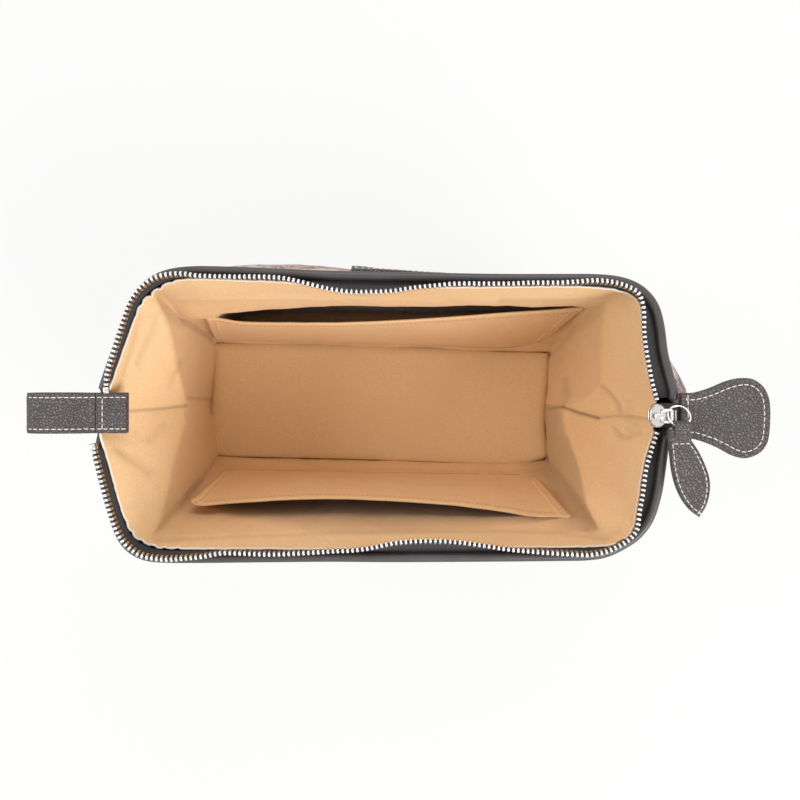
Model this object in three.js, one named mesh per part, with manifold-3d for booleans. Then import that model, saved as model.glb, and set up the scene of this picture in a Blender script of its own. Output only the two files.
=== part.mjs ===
// Framed wash bag, open, standing on its base. Millimetres: X along the bag, Y from front to back, Z up.
import * as THREE from "three";
import { mergeVertices } from "three/addons/utils/BufferGeometryUtils.js";
import Module from "manifold-3d";

const wasm = await Module();
wasm.setup();

// Clearances
const GAP = 0.3; // between pieces that touch
const CUT = 1; // overrun of every cutting body

// Mouth, at the centre line of the rim
const MOUTH_HEIGHT = 132;
const MOUTH_POINT_X = 143.2; // where the lines of two arms meet over the long axis
const MOUTH_CORNER_X = 125;
const MOUTH_HALF_DEPTH = 71;
const MOUTH_CORNER_CUT = 15; // length that each corner's round takes from the arm and from the bar
const RIGHT_TIP_Y = 10.5;
const LEFT_TIP_Y = 13.2;

// Base
const BASE_LENGTH = 222;
const BASE_DEPTH = 108;
const BASE_CORNER_CUT = 20;
const BASE_THICKNESS = 1.6;
const BOARD_THICKNESS = 2;
const BOARD_INSET = 6.5; // from the wall's mid surface to the board's edge
const BASE_LINING_THICKNESS = 1;

// Walls and lining
const WALL_THICKNESS = 1.2;
const WALL_BULGE = 3;
const LINING_THICKNESS = 0.8;
const LINING_INSET = 3.6; // from the wall's mid surface to the lining's
const PANEL_SPLIT_HEIGHT = 84; // up to here the long walls stand still when the mouth closes
const GUSSET_SPLIT_HEIGHT = 56;

// Pockets
const POCKET_THICKNESS = 0.9;
const POCKET_LIP_HEIGHT = 78;
const POCKET_SAG = 10; // how far the lip hangs off the lining between its two ramps

// Rim: a leather roll round a spring wire
const RIM_RADIUS = 2.5;
const RIM_WALL = 0.9;
const RIM_SLOT_ANGLE = 0.9; // opening of the roll, towards the wall below it
const WIRE_CLEARANCE = 0.3;
const WIRE_END_INSET = 2;
const PIPING_RADIUS = 0.8;
const PIPING_DROP = 0.5; // of the piping's centre line under the roll's top quarter
const PATCH_LENGTH = 48;
const PATCH_SHIFT = 6; // towards the right end
const PATCH_HEIGHT = 24;
const PATCH_THICKNESS = 1.6;

// Zip. Lean is how far the chain lies inside the rim's line, rise how far over it.
const LEAN_RIGHT_END = 9;
const LEAN_RIGHT_CORNER = 4;
const LEAN_MIDDLE = 8.5;
const LEAN_LEFT_CORNER = 2.5;
const LEAN_LEFT_END = 1;
const RISE_RIGHT_END = 4.5;
const RISE_CORNER = 8.5;
const RISE_MIDDLE = 8;
const RISE_LEFT_END = 9.5;
const TAPE_THICKNESS = 0.8;
const TOOTH_PITCH = 2.4;
const TOOTH_WIDTH = 1.3; // along the tape
const TOOTH_LENGTH = 1.7; // beyond the bead
const TOOTH_THICKNESS = 2.4;
const BEAD_HEIGHT = 1.2;
const STOP_LENGTH = 2.6;
const STOP_HEIGHT = 3.4;
const STOP_THICKNESS = 3;

// Slider and its pull
const SLIDER_LENGTH = 8.5;
const SLIDER_WIDTH = 11;
const SLIDER_TAIL_WIDTH = 6.4;
const SLIDER_NOSE_X = 129.5; // its mouth, towards the middle of the bag
const SLIDER_PLATE = 0.9;
const SLIDER_CHANNEL = 2.4;
const SLIDER_FLANGE = 0.8;
const SLIDER_NECK_RADIUS = 1.4;
const BRIDGE_INSET = 0.6; // from the slider's ends
const BRIDGE_WIDTH = 2.4;
const BRIDGE_THICKNESS = 0.8;
const BRIDGE_EYE = 2.2; // clear height under the bridge
const LINK_WIRE = 1;
const LINK_LENGTH = 5.2;
const LINK_WIDTH = 6.2;
const RING_WIRE = 1;
const RING_DIAMETER = 11.6;
const RING_TILT = 0.48; // its front side is up
const LEAF_LENGTH = 45;
const LEAF_WIDTH = 18.5;
const LEAF_SHOULDER_WIDTH = 9.6;
const LEAF_NECK_WIDTH = 4.2;
const LEAF_SHOULDER_SHARE = 0.3; // places along the leaf, as shares of its length
const LEAF_WIDEST_SHARE = 0.62;
const LEAF_TIP_SHARE = 0.86;
const EYE_FACETS = 16;
const BORE_FACETS = 12;
const LEAF_LAYER = 1.3;
const LEAF_TURN = 0.25; // from straight out to the front, towards the right end
const LEAF_DROOP = 0.12;
const LEAF_EYE_RADIUS = 1.7; // of the neck's loop round the ring

// Tab at the right end: two leather layers with the tape's tail between them
const TAB_START_X = 145.3;
const TAB_LENGTH = 44.5;
const TAB_NECK_WIDTH = 22;
const TAB_WIDTH = 40;
const TAB_CORNER = 11;
const TAB_END_BOW = 4;
const TAB_LAYER = 1.6;
const TAB_HEIGHT = 0.4; // underside over the rim's centre line
const CORE_INSET = 4;
const TAIL_THICKNESS = 0.7;
const TAIL_WIDTH = 12;
const TAIL_LEG_THICKNESS = 1; // the end turned down to the right gusset
const CHAIN_TAIL_WIDTH = 5.2;
const CHAIN_TAIL_HEIGHT = 2.2;

// Grab loop at the left end
const LOOP_BEND_X = -145.5; // where the loop flexes, outside the rim's tips
const LOOP_WIDTH = 20;
const LOOP_STRAP = 1.4;
const LOOP_INNER_X = -129;
const LOOP_SEAM_X = -148;
const LOOP_END_X = -180;
const LOOP_SWELL = 9; // outer height of the loop where it gapes most
const LOOP_SWELL_SHARE = 0.6; // of the way from the seam to the loop's end
const LOOP_HEIGHT = -1.7; // middle of the strap, over the rim's centre line

// Fineness of the meshes
const ARM_STEPS = 3;
const CORNER_STEPS = 4;
const BAR_STEPS = 8;
const ROUND_STEPS = 20;
const WIRE_FACETS = 6;
const PIPING_FACETS = 4;
const NECK_FACETS = 10;
const RING_WIRE_FACETS = 5;
const BRIDGE_STEPS = 4;
const TAB_STEPS = 5;
const LEAF_STEPS = 6;
const LOOP_STEPS = 6;
const LENGTH_DIVISIONS = 40; // per outline step, for measuring lengths along the chain

const FRONT = -1;
const BACK = 1;
const RIGHT = 1;
const LEFT = -1;

// Colours
const LOOKS = {
  canvas: { color: 0xb9a9a0, roughness: 0.9, metalness: 0 },
  lining: { color: 0xdba970, roughness: 0.75, metalness: 0 },
  leather: { color: 0x4a4443, roughness: 0.6, metalness: 0 },
  tape: { color: 0x1d1e1f, roughness: 0.9, metalness: 0 },
  piping: { color: 0xe9dfd0, roughness: 0.8, metalness: 0 },
  metal: { color: 0xd9dadb, roughness: 0.25, metalness: 1 },
  steel: { color: 0x8c8f92, roughness: 0.4, metalness: 1 },
  board: { color: 0x6b5a48, roughness: 0.9, metalness: 0 },
};

const bag = new THREE.Group();

function addPiece(name, geometry, look) {
  const mesh = new THREE.Mesh(geometry, new THREE.MeshStandardMaterial(LOOKS[look]));
  mesh.name = name;
  bag.add(mesh);
  return mesh;
}

// Solids

function geometryOf(points, faces) {
  const geometry = new THREE.BufferGeometry().setFromPoints(points);
  geometry.setIndex(faces.flat());
  return facingOut(geometry);
}

function positionsOnly(geometry) {
  const bare = geometry.clone();
  bare.deleteAttribute("normal");
  bare.deleteAttribute("uv");
  return mergeVertices(bare, 1e-4);
}

function volumeOf(geometry) {
  const at = geometry.getAttribute("position");
  const corner = [0, 1, 2].map(() => new THREE.Vector3());
  let sum = 0;
  for (let i = 0; i < geometry.index.count; i += 3) {
    corner.forEach((c, k) => c.fromBufferAttribute(at, geometry.index.getX(i + k)));
    sum += corner[0].dot(corner[1].clone().cross(corner[2])) / 6;
  }
  return sum;
}

function facingOut(geometry) {
  const solid = positionsOnly(geometry);
  if (volumeOf(solid) < 0) {
    const index = solid.index.array;
    for (let i = 0; i < index.length; i += 3) {
      [index[i + 1], index[i + 2]] = [index[i + 2], index[i + 1]];
    }
  }
  solid.computeVertexNormals();
  return solid;
}

function toSolid(geometry) {
  const bare = facingOut(geometry);
  return new wasm.Manifold(
    new wasm.Mesh({
      numProp: 3,
      vertProperties: new Float32Array(bare.getAttribute("position").array),
      triVerts: new Uint32Array(bare.index.array),
    }),
  );
}

function fromSolid(solid) {
  const mesh = solid.getMesh();
  const geometry = new THREE.BufferGeometry();
  geometry.setAttribute("position", new THREE.BufferAttribute(mesh.vertProperties, 3));
  geometry.setIndex(new THREE.BufferAttribute(mesh.triVerts, 1));
  geometry.computeVertexNormals();
  return geometry;
}

// A closed sheet between two grids of points, given as rows of equal length.
function slab(near, far) {
  const rows = near.length;
  const columns = near[0].length;
  const points = [...near.flat(), ...far.flat()];
  const faces = [];
  const nearAt = (i, j) => i * columns + j;
  const farAt = (i, j) => rows * columns + nearAt(i, j);
  const quad = (a, b, c, d) => faces.push([a, b, c], [a, c, d]);
  for (let i = 0; i < rows - 1; i++) {
    for (let j = 0; j < columns - 1; j++) {
      quad(nearAt(i, j), nearAt(i, j + 1), nearAt(i + 1, j + 1), nearAt(i + 1, j));
      quad(farAt(i, j), farAt(i + 1, j), farAt(i + 1, j + 1), farAt(i, j + 1));
    }
  }
  for (let j = 0; j < columns - 1; j++) {
    quad(nearAt(0, j), farAt(0, j), farAt(0, j + 1), nearAt(0, j + 1));
    quad(nearAt(rows - 1, j), nearAt(rows - 1, j + 1), farAt(rows - 1, j + 1), farAt(rows - 1, j));
  }
  for (let i = 0; i < rows - 1; i++) {
    quad(nearAt(i, 0), nearAt(i + 1, 0), farAt(i + 1, 0), farAt(i, 0));
    quad(nearAt(i, columns - 1), farAt(i, columns - 1), farAt(i + 1, columns - 1), nearAt(i + 1, columns - 1));
  }
  return geometryOf(points, faces);
}

// A section swept along stations, each with a place, a way out to the side and a way up.
function sweep(section, stations) {
  const points = stations.flatMap(({ at, side, up }) =>
    section.map((p) => at.clone().addScaledVector(side, p.x).addScaledVector(up, p.y)),
  );
  const count = section.length;
  const faces = [];
  for (let i = 0; i < stations.length - 1; i++) {
    for (let k = 0; k < count; k++) {
      const a = i * count + k;
      const b = i * count + ((k + 1) % count);
      faces.push([a, b, b + count], [a, b + count, a + count]);
    }
  }
  const last = (stations.length - 1) * count;
  for (const [a, b, c] of THREE.ShapeUtils.triangulateShape(section, [])) {
    faces.push([a, c, b], [a + last, b + last, c + last]);
  }
  return geometryOf(points, faces);
}

function roundSection(radius, steps) {
  return Array.from({ length: steps }, (_, k) => {
    const turn = (2 * Math.PI * k) / steps;
    return new THREE.Vector2(radius * Math.cos(turn), radius * Math.sin(turn));
  });
}

// A flat plate from an outline in X and Y, lying on a height.
function plate(outline, height, thickness, steps = 8) {
  const geometry = new THREE.ExtrudeGeometry(outline, {
    depth: thickness,
    bevelEnabled: false,
    curveSegments: steps,
  });
  geometry.translate(0, 0, height);
  return facingOut(geometry);
}

function box(sizeX, sizeY, sizeZ, x, y, z) {
  const geometry = new THREE.BoxGeometry(sizeX, sizeY, sizeZ);
  geometry.translate(x, y, z);
  return geometry;
}

// Outlines seen from above

const MOUTH = {
  pointX: MOUTH_POINT_X,
  cornerX: MOUTH_CORNER_X,
  halfDepth: MOUTH_HALF_DEPTH,
  cornerCut: MOUTH_CORNER_CUT,
};
const BASE = {
  pointX: BASE_LENGTH / 2,
  cornerX: BASE_LENGTH / 2,
  halfDepth: BASE_DEPTH / 2,
  cornerCut: BASE_CORNER_CUT,
};

function lineSteps(from, to, steps) {
  return Array.from({ length: steps }, (_, i) => from.clone().lerp(to, i / steps));
}

// A quarter of an outline, from where it starts at startY on the arm to the middle of the bar.
function quarterOutline(outline, startY) {
  const { pointX, cornerX, halfDepth, cornerCut } = outline;
  const corner = new THREE.Vector2(cornerX, halfDepth);
  const start = new THREE.Vector2(THREE.MathUtils.lerp(pointX, cornerX, startY / halfDepth), startY);
  const armEnd = corner.clone().add(start.clone().sub(corner).setLength(cornerCut));
  const barStart = new THREE.Vector2(cornerX - cornerCut, halfDepth);
  const round = new THREE.QuadraticBezierCurve(armEnd, corner, barStart).getPoints(CORNER_STEPS);
  const middle = new THREE.Vector2(0, halfDepth);
  return [
    ...lineSteps(start, armEnd, ARM_STEPS),
    ...round.slice(0, CORNER_STEPS),
    ...lineSteps(barStart, middle, BAR_STEPS / 2),
    middle,
  ];
}

// Half an outline on one side, from the right end to the left, with the way inwards at each point.
function halfOutline(outline, side, rightY, leftY) {
  const right = quarterOutline(outline, rightY);
  const left = quarterOutline(outline, leftY).map((p) => new THREE.Vector2(-p.x, p.y));
  const points = [...right, ...left.reverse().slice(1)].map((p) => new THREE.Vector2(p.x, side * p.y));
  return points.map((p, i) => {
    const before = points[Math.max(i - 1, 0)];
    const after = points[Math.min(i + 1, points.length - 1)];
    const run = after.clone().sub(before).normalize();
    const inward = new THREE.Vector2(-run.y, run.x).multiplyScalar(side);
    return { at: p, inward };
  });
}

const HALF_STEPS = 2 * (ARM_STEPS + CORNER_STEPS) + BAR_STEPS;
const BAR_FIRST = ARM_STEPS;
const BAR_LAST = HALF_STEPS - ARM_STEPS;

// How far the walls stand out at a height: straight up to the split of the strips, and straight back to the mouth.
function bulge(height) {
  const above = (MOUTH_HEIGHT - height) / (MOUTH_HEIGHT - PANEL_SPLIT_HEIGHT);
  return WALL_BULGE * Math.min(height / PANEL_SPLIT_HEIGHT, above);
}

// Body surfaces. The share runs from 0 at the base to 1 at the mouth.
function bodyPoint(side, index, height, inset) {
  const share = height / MOUTH_HEIGHT;
  const low = halfOutline(BASE, side, 0, 0)[index];
  const high = halfOutline(MOUTH, side, 0, 0)[index];
  const inward = low.inward.clone().lerp(high.inward, share).normalize();
  const at = low.at.clone().lerp(high.at, share);
  at.addScaledVector(inward, inset - bulge(height));
  return new THREE.Vector3(at.x, at.y, height);
}

function heights(from, to, rows) {
  return Array.from({ length: rows + 1 }, (_, i) => THREE.MathUtils.lerp(from, to, i / rows));
}

function range(from, to) {
  return Array.from({ length: to - from + 1 }, (_, i) => from + i);
}

// The long panel of a side, and the gusset of an end, as places round the outline. Neighbours are kept apart
// by drawing each panel's two borders in by the gap.
const panelPlaces = (side) => range(BAR_FIRST, BAR_LAST).map((i) => [side, i]);

function gussetPlaces(end) {
  const half = end === RIGHT ? range(0, BAR_FIRST) : range(BAR_LAST, HALF_STEPS);
  const outwards = end === RIGHT ? half : half.slice().reverse();
  const front = outwards.map((i) => [FRONT, i]).reverse();
  const back = outwards.map((i) => [BACK, i]);
  return [...front, ...back.slice(1)];
}

function drawnIn(places, levels, inset, thickness) {
  const last = places.length - 1;
  const grid = (shift) =>
    levels.map((z) => {
      const row = places.map(([side, i]) => bodyPoint(side, i, z, inset + shift));
      const first = row[1].clone().sub(row[0]).setLength(GAP / 2);
      const end = row[last - 1].clone().sub(row[last]).setLength(GAP / 2);
      row[0].add(first);
      row[last].add(end);
      return row;
    });
  return slab(grid(-thickness / 2), grid(thickness / 2));
}

const WALL_TOP = MOUTH_HEIGHT - RIM_RADIUS - GAP;
const LINING_TOP = MOUTH_HEIGHT - PIPING_DROP - PIPING_RADIUS - GAP;
const GUSSET_LINING_TOP = MOUTH_HEIGHT + LOOP_HEIGHT - LOOP_STRAP - GAP;
const WALL_FOOT = BASE_THICKNESS + GAP;
const BOARD_FOOT = BASE_THICKNESS + GAP;
const BASE_LINING_FOOT = BOARD_FOOT + BOARD_THICKNESS + GAP;
const BASE_LINING_TOP = BASE_LINING_FOOT + BASE_LINING_THICKNESS;
const LOWER_ROWS = 1;
const UPPER_ROWS = 3;

function addWallAndLining(name, places, split, liningTop) {
  const skins = [
    ["outer", 0, WALL_THICKNESS, WALL_FOOT, Math.min(WALL_TOP, liningTop), "canvas"],
    ["lining", LINING_INSET, LINING_THICKNESS, WALL_FOOT, liningTop, "lining"],
  ];
  for (const [skin, inset, thickness, foot, top, look] of skins) {
    const lower = heights(foot, split - GAP / 2, LOWER_ROWS);
    const upper = heights(split + GAP / 2, top, UPPER_ROWS);
    addPiece(`${skin}_${name}_lower`, drawnIn(places, lower, inset, thickness), look);
    addPiece(`${skin}_${name}_upper`, drawnIn(places, upper, inset, thickness), look);
  }
}

// Base

function insetOutline(outline, inset) {
  const front = halfOutline(outline, FRONT, 0, 0);
  const back = halfOutline(outline, BACK, 0, 0).reverse();
  const ring = [...front, ...back.slice(1, -1)];
  return new THREE.Shape(ring.map(({ at, inward }) => at.clone().addScaledVector(inward, inset)));
}

function addBase() {
  addPiece("base_panel", plate(insetOutline(BASE, -WALL_THICKNESS / 2), 0, BASE_THICKNESS), "canvas");
  addPiece("base_board", plate(insetOutline(BASE, BOARD_INSET), BOARD_FOOT, BOARD_THICKNESS), "board");
  addPiece(
    "base_lining",
    plate(insetOutline(BASE, BOARD_INSET), BASE_LINING_FOOT, BASE_LINING_THICKNESS),
    "lining",
  );
}

// Pockets: a panel sewn to the lining along its foot and at both ends, where it ramps up to its full slack.
const POCKET_FOOT = BASE_LINING_TOP + GAP;
const POCKET_INSET = LINING_INSET + LINING_THICKNESS / 2 + GAP + POCKET_THICKNESS / 2;
const POCKET_FIRST = BAR_FIRST + CORNER_STEPS;
const POCKET_LAST = BAR_LAST - CORNER_STEPS;

function pocketSlack(index, height) {
  const sewn = index === POCKET_FIRST || index === POCKET_LAST;
  const up = (height - POCKET_FOOT) / (POCKET_LIP_HEIGHT - POCKET_FOOT);
  return sewn ? 0 : POCKET_SAG * up;
}

function addPocket(name, side) {
  const places = range(POCKET_FIRST, POCKET_LAST);
  const levels = [POCKET_FOOT, POCKET_LIP_HEIGHT];
  const grid = (shift) =>
    levels.map((z) => places.map((i) => bodyPoint(side, i, z, POCKET_INSET + pocketSlack(i, z) + shift)));
  addPiece(name, slab(grid(-POCKET_THICKNESS / 2), grid(POCKET_THICKNESS / 2)), "lining");
}

// Rim, wire, piping and tape of one half of the mouth

const UP = new THREE.Vector3(0, 0, 1);

function rimStations(side) {
  return halfOutline(MOUTH, side, RIGHT_TIP_Y, LEFT_TIP_Y).map(({ at, inward }) => ({
    at: new THREE.Vector3(at.x, at.y, MOUTH_HEIGHT),
    side: new THREE.Vector3(inward.x, inward.y, 0),
    up: UP,
  }));
}

function rollSection() {
  const outerSteps = 9;
  const innerSteps = 5;
  const start = -Math.PI / 2 + RIM_SLOT_ANGLE / 2;
  const sweepAngle = 2 * Math.PI - RIM_SLOT_ANGLE;
  const arc = (radius, steps) =>
    Array.from({ length: steps + 1 }, (_, k) => {
      const turn = start + (sweepAngle * k) / steps;
      return new THREE.Vector2(radius * Math.cos(turn), radius * Math.sin(turn));
    });
  return [...arc(RIM_RADIUS, outerSteps), ...arc(RIM_RADIUS - RIM_WALL, innerSteps).reverse()];
}

function shortened(stations, length) {
  const trimmed = stations.map((s) => ({ ...s, at: s.at.clone() }));
  const last = trimmed.length - 1;
  for (const [end, next] of [
    [0, 1],
    [last, last - 1],
  ]) {
    const inward = trimmed[next].at.clone().sub(trimmed[end].at).setLength(length);
    trimmed[end].at.add(inward);
  }
  return trimmed;
}

const WIRE_RADIUS = (RIM_RADIUS - RIM_WALL) * Math.cos(Math.PI / 6) - WIRE_CLEARANCE;
const PIPING_INSET = RIM_RADIUS + GAP + PIPING_RADIUS;
const TAPE_ROOT = (RIM_RADIUS + GAP + TAPE_THICKNESS / 2) * Math.SQRT1_2;

// Lean and rise of the chain at each station, eased between the ends, the corners and the middle.
function chainShape(index) {
  const rightCorner = ARM_STEPS + CORNER_STEPS / 2;
  const middle = HALF_STEPS / 2;
  const marks = [0, rightCorner, middle, HALF_STEPS - rightCorner, HALF_STEPS];
  const leans = [LEAN_RIGHT_END, LEAN_RIGHT_CORNER, LEAN_MIDDLE, LEAN_LEFT_CORNER, LEAN_LEFT_END];
  const rises = [RISE_RIGHT_END, RISE_CORNER, RISE_MIDDLE, RISE_CORNER, RISE_LEFT_END];
  const k = Math.min(marks.findLastIndex((m) => m <= index), marks.length - 2);
  const share = THREE.MathUtils.smoothstep(index, marks[k], marks[k + 1]);
  return {
    lean: THREE.MathUtils.lerp(leans[k], leans[k + 1], share),
    rise: THREE.MathUtils.lerp(rises[k], rises[k + 1], share),
  };
}

function tapeStations(side) {
  return rimStations(side).map((s, i) => {
    const { lean, rise } = chainShape(i);
    const root = s.at.clone().addScaledVector(s.side, TAPE_ROOT).addScaledVector(UP, TAPE_ROOT);
    const edge = s.at.clone().addScaledVector(s.side, lean).addScaledVector(UP, rise);
    const climb = edge.clone().sub(root).normalize();
    const along = new THREE.Vector3().crossVectors(s.side, UP);
    const across = new THREE.Vector3().crossVectors(along, climb).normalize();
    return { root, edge, climb, across };
  });
}

function tapeSheet(side) {
  const stations = tapeStations(side);
  const grid = (shift) => [
    stations.map(({ root, across }) => root.clone().addScaledVector(across, shift)),
    stations.map(({ edge, climb, across }) =>
      edge.clone().addScaledVector(climb, -BEAD_HEIGHT - GAP).addScaledVector(across, shift),
    ),
  ];
  return slab(grid(-TAPE_THICKNESS / 2), grid(TAPE_THICKNESS / 2));
}

// Teeth stand on one bead along the tape's edge, so a row is one body.
function chainLine(side) {
  const stations = tapeStations(side);
  const edge = new THREE.CatmullRomCurve3(stations.map((s) => s.edge));
  const root = new THREE.CatmullRomCurve3(stations.map((s) => s.root));
  edge.arcLengthDivisions = LENGTH_DIVISIONS * HALF_STEPS;
  return { edge, root, length: edge.getLength() };
}

function chainFrame({ edge, root, length }, distance) {
  const t = edge.getUtoTmapping(0, distance);
  const at = edge.getPoint(t);
  const run = edge.getTangent(t);
  const climb = at.clone().sub(root.getPoint(t));
  climb.addScaledVector(run, -climb.dot(run)).normalize();
  const across = new THREE.Vector3().crossVectors(run, climb);
  return { at, run, climb, across };
}

function toothRow(side) {
  const line = chainLine(side);
  const count = Math.floor((line.length - STOP_LENGTH - GAP) / TOOTH_PITCH);
  const points = [];
  const faces = [];
  const addPair = (distance, climb) => {
    const frame = chainFrame(line, distance);
    const at = frame.at.clone().addScaledVector(frame.climb, climb);
    const half = TOOTH_THICKNESS / 2;
    points.push(at.clone().addScaledVector(frame.across, -half), at.clone().addScaledVector(frame.across, half));
    return points.length - 2;
  };
  const quad = (a, b, c, d) => faces.push([a, b, c], [a, c, d]);
  const flank = (foot, next, crest) => {
    const [low, a, b, c, d, e] = crest;
    for (const [p, q, r] of [
      [foot, low, a],
      [foot, a, b],
      [foot, b, c],
      [foot, c, next],
      [next, c, d],
      [next, d, e],
    ]) {
      faces.push([p, q, r], [p + 1, r + 1, q + 1]);
    }
  };
  let foot = addPair(0, -BEAD_HEIGHT);
  let low = addPair(0, 0);
  quad(foot, foot + 1, low + 1, low);
  for (let i = 0; i < count; i++) {
    const start = i * TOOTH_PITCH;
    const from = start + (TOOTH_PITCH - TOOTH_WIDTH) / 2;
    const to = from + TOOTH_WIDTH;
    const b = addPair(from, TOOTH_LENGTH);
    const c = addPair(to, TOOTH_LENGTH);
    const d = addPair(to, 0);
    const next = addPair(start + TOOTH_PITCH, -BEAD_HEIGHT);
    const a = addPair(from, 0);
    quad(low, low + 1, a + 1, a);
    quad(a, a + 1, b + 1, b);
    quad(b, b + 1, c + 1, c);
    quad(c, c + 1, d + 1, d);
    quad(foot + 1, foot, next, next + 1);
    const end = addPair(start + TOOTH_PITCH, 0);
    flank(foot, next, [low, a, b, c, d, end]);
    quad(d, d + 1, end + 1, end);
    foot = next;
    low = end;
  }
  quad(foot + 1, foot, low, low + 1);
  return { geometry: geometryOf(points, faces), end: chainFrame(line, count * TOOTH_PITCH) };
}

// The end stop clamps the tape's end behind the last tooth.
function endStop({ at, run, climb, across }) {
  const block = new THREE.BoxGeometry(STOP_LENGTH, STOP_HEIGHT, STOP_THICKNESS);
  const centre = at.clone().addScaledVector(run, GAP + STOP_LENGTH / 2);
  centre.addScaledVector(climb, STOP_HEIGHT / 2 - BEAD_HEIGHT);
  block.applyMatrix4(new THREE.Matrix4().makeBasis(run, climb, across).setPosition(centre));
  return block;
}

function addFrame(name, side) {
  const stations = rimStations(side);
  addPiece(`${name}_rim`, sweep(rollSection(), stations), "leather");
  addPiece(`${name}_wire`, sweep(roundSection(WIRE_RADIUS, WIRE_FACETS), shortened(stations, WIRE_END_INSET)), "steel");
  const pipingStations = stations.map((s) => ({
    ...s,
    at: s.at.clone().addScaledVector(s.side, PIPING_INSET).addScaledVector(UP, -PIPING_DROP),
  }));
  addPiece(`${name}_piping`, sweep(roundSection(PIPING_RADIUS, PIPING_FACETS), pipingStations), "piping");
  addPiece(`${name}_tape`, tapeSheet(side), "tape");
  const { geometry, end } = toothRow(side);
  addPiece(`${name}_teeth`, geometry, "metal");
  addPiece(`${name}_end_stop`, endStop(end), "metal");
  const patchY = side * (MOUTH_HALF_DEPTH + RIM_RADIUS + GAP + PATCH_THICKNESS / 2);
  const patch = box(PATCH_LENGTH, PATCH_THICKNESS, PATCH_HEIGHT, PATCH_SHIFT, patchY, MOUTH_HEIGHT - PATCH_HEIGHT / 2);
  addPiece(`${name}_patch`, facingOut(patch), "leather");
}

// Slider: two plates joined by a neck, with flanges along its sides and a bridge over its top.

const TAIL_BOTTOM = MOUTH_HEIGHT + TAB_HEIGHT + TAB_LAYER + GAP;
const TAIL_TOP = TAIL_BOTTOM + TAIL_THICKNESS;
const SLIDER_BOTTOM = TAIL_TOP + GAP;
const SLIDER_HEIGHT = 2 * SLIDER_PLATE + SLIDER_CHANNEL;
const SLIDER_TOP = SLIDER_BOTTOM + SLIDER_HEIGHT;
const SLIDER_REAR_X = SLIDER_NOSE_X + SLIDER_LENGTH;

function sliderOutline() {
  const half = SLIDER_WIDTH / 2;
  const tail = SLIDER_TAIL_WIDTH / 2;
  const third = SLIDER_LENGTH / 3;
  const shape = new THREE.Shape();
  shape.moveTo(SLIDER_REAR_X, -tail);
  shape.lineTo(SLIDER_REAR_X, tail);
  shape.quadraticCurveTo(SLIDER_REAR_X - third, half, SLIDER_NOSE_X + third, half);
  shape.quadraticCurveTo(SLIDER_NOSE_X, half, SLIDER_NOSE_X, half / 2);
  shape.lineTo(SLIDER_NOSE_X, -half / 2);
  shape.quadraticCurveTo(SLIDER_NOSE_X, -half, SLIDER_NOSE_X + third, -half);
  shape.quadraticCurveTo(SLIDER_REAR_X - third, -half, SLIDER_REAR_X, -tail);
  return shape;
}

const BRIDGE_FROM_X = SLIDER_NOSE_X + BRIDGE_INSET;
const BRIDGE_TO_X = SLIDER_REAR_X - BRIDGE_INSET;

function bridgeOutline() {
  const bar = BRIDGE_THICKNESS;
  const high = BRIDGE_EYE + bar;
  const sunk = SLIDER_PLATE / 2;
  const shape = new THREE.Shape();
  shape.moveTo(BRIDGE_FROM_X, -sunk);
  shape.lineTo(BRIDGE_FROM_X, high - bar);
  shape.quadraticCurveTo(BRIDGE_FROM_X, high, BRIDGE_FROM_X + bar, high);
  shape.lineTo(BRIDGE_TO_X - bar, high);
  shape.quadraticCurveTo(BRIDGE_TO_X, high, BRIDGE_TO_X, high - bar);
  shape.lineTo(BRIDGE_TO_X, -sunk);
  shape.lineTo(BRIDGE_TO_X - bar, -sunk);
  shape.lineTo(BRIDGE_TO_X - bar, BRIDGE_EYE);
  shape.lineTo(BRIDGE_FROM_X + bar, BRIDGE_EYE);
  shape.lineTo(BRIDGE_FROM_X + bar, -sunk);
  return shape;
}

// Extrudes an outline drawn in X and Z across the bag, centred on the long axis.
function acrossBag(outline, width, height, steps) {
  const geometry = new THREE.ExtrudeGeometry(outline, {
    depth: width,
    bevelEnabled: false,
    curveSegments: steps,
  });
  geometry.rotateX(Math.PI / 2);
  geometry.translate(0, width / 2, height);
  return geometry;
}

function addSlider() {
  const middle = SLIDER_BOTTOM + SLIDER_HEIGHT / 2;
  const centreX = (SLIDER_NOSE_X + SLIDER_REAR_X) / 2;
  const length = SLIDER_LENGTH + 2 * CUT;
  const channel = box(length, SLIDER_WIDTH - 2 * SLIDER_FLANGE, SLIDER_CHANNEL, centreX, 0, middle);
  const tapeSlot = box(length, SLIDER_WIDTH + 2 * CUT, TAPE_THICKNESS, centreX, 0, middle);
  const neck = new THREE.CylinderGeometry(SLIDER_NECK_RADIUS, SLIDER_NECK_RADIUS, SLIDER_HEIGHT, NECK_FACETS);
  neck.rotateX(Math.PI / 2);
  neck.translate(SLIDER_NOSE_X + 2 * SLIDER_NECK_RADIUS, 0, middle);
  const bridge = acrossBag(bridgeOutline(), BRIDGE_WIDTH, SLIDER_TOP, BRIDGE_STEPS);
  const body = toSolid(plate(sliderOutline(), SLIDER_BOTTOM, SLIDER_HEIGHT))
    .subtract(toSolid(channel))
    .subtract(toSolid(tapeSlot))
    .add(toSolid(neck))
    .add(toSolid(bridge));
  addPiece("zip_slider", fromSolid(body), "metal");
}

// Link: a square wire eye that hangs in the bridge and holds the ring.

const LINK_INNER_X = BRIDGE_TO_X - BRIDGE_THICKNESS - GAP - LINK_WIRE;
const LINK_BOTTOM = SLIDER_TOP + BRIDGE_EYE - GAP - LINK_WIRE;
const LINK_MIDDLE = LINK_BOTTOM + LINK_WIRE / 2;
const LINK_OUTER_X = LINK_INNER_X + LINK_LENGTH;

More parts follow.
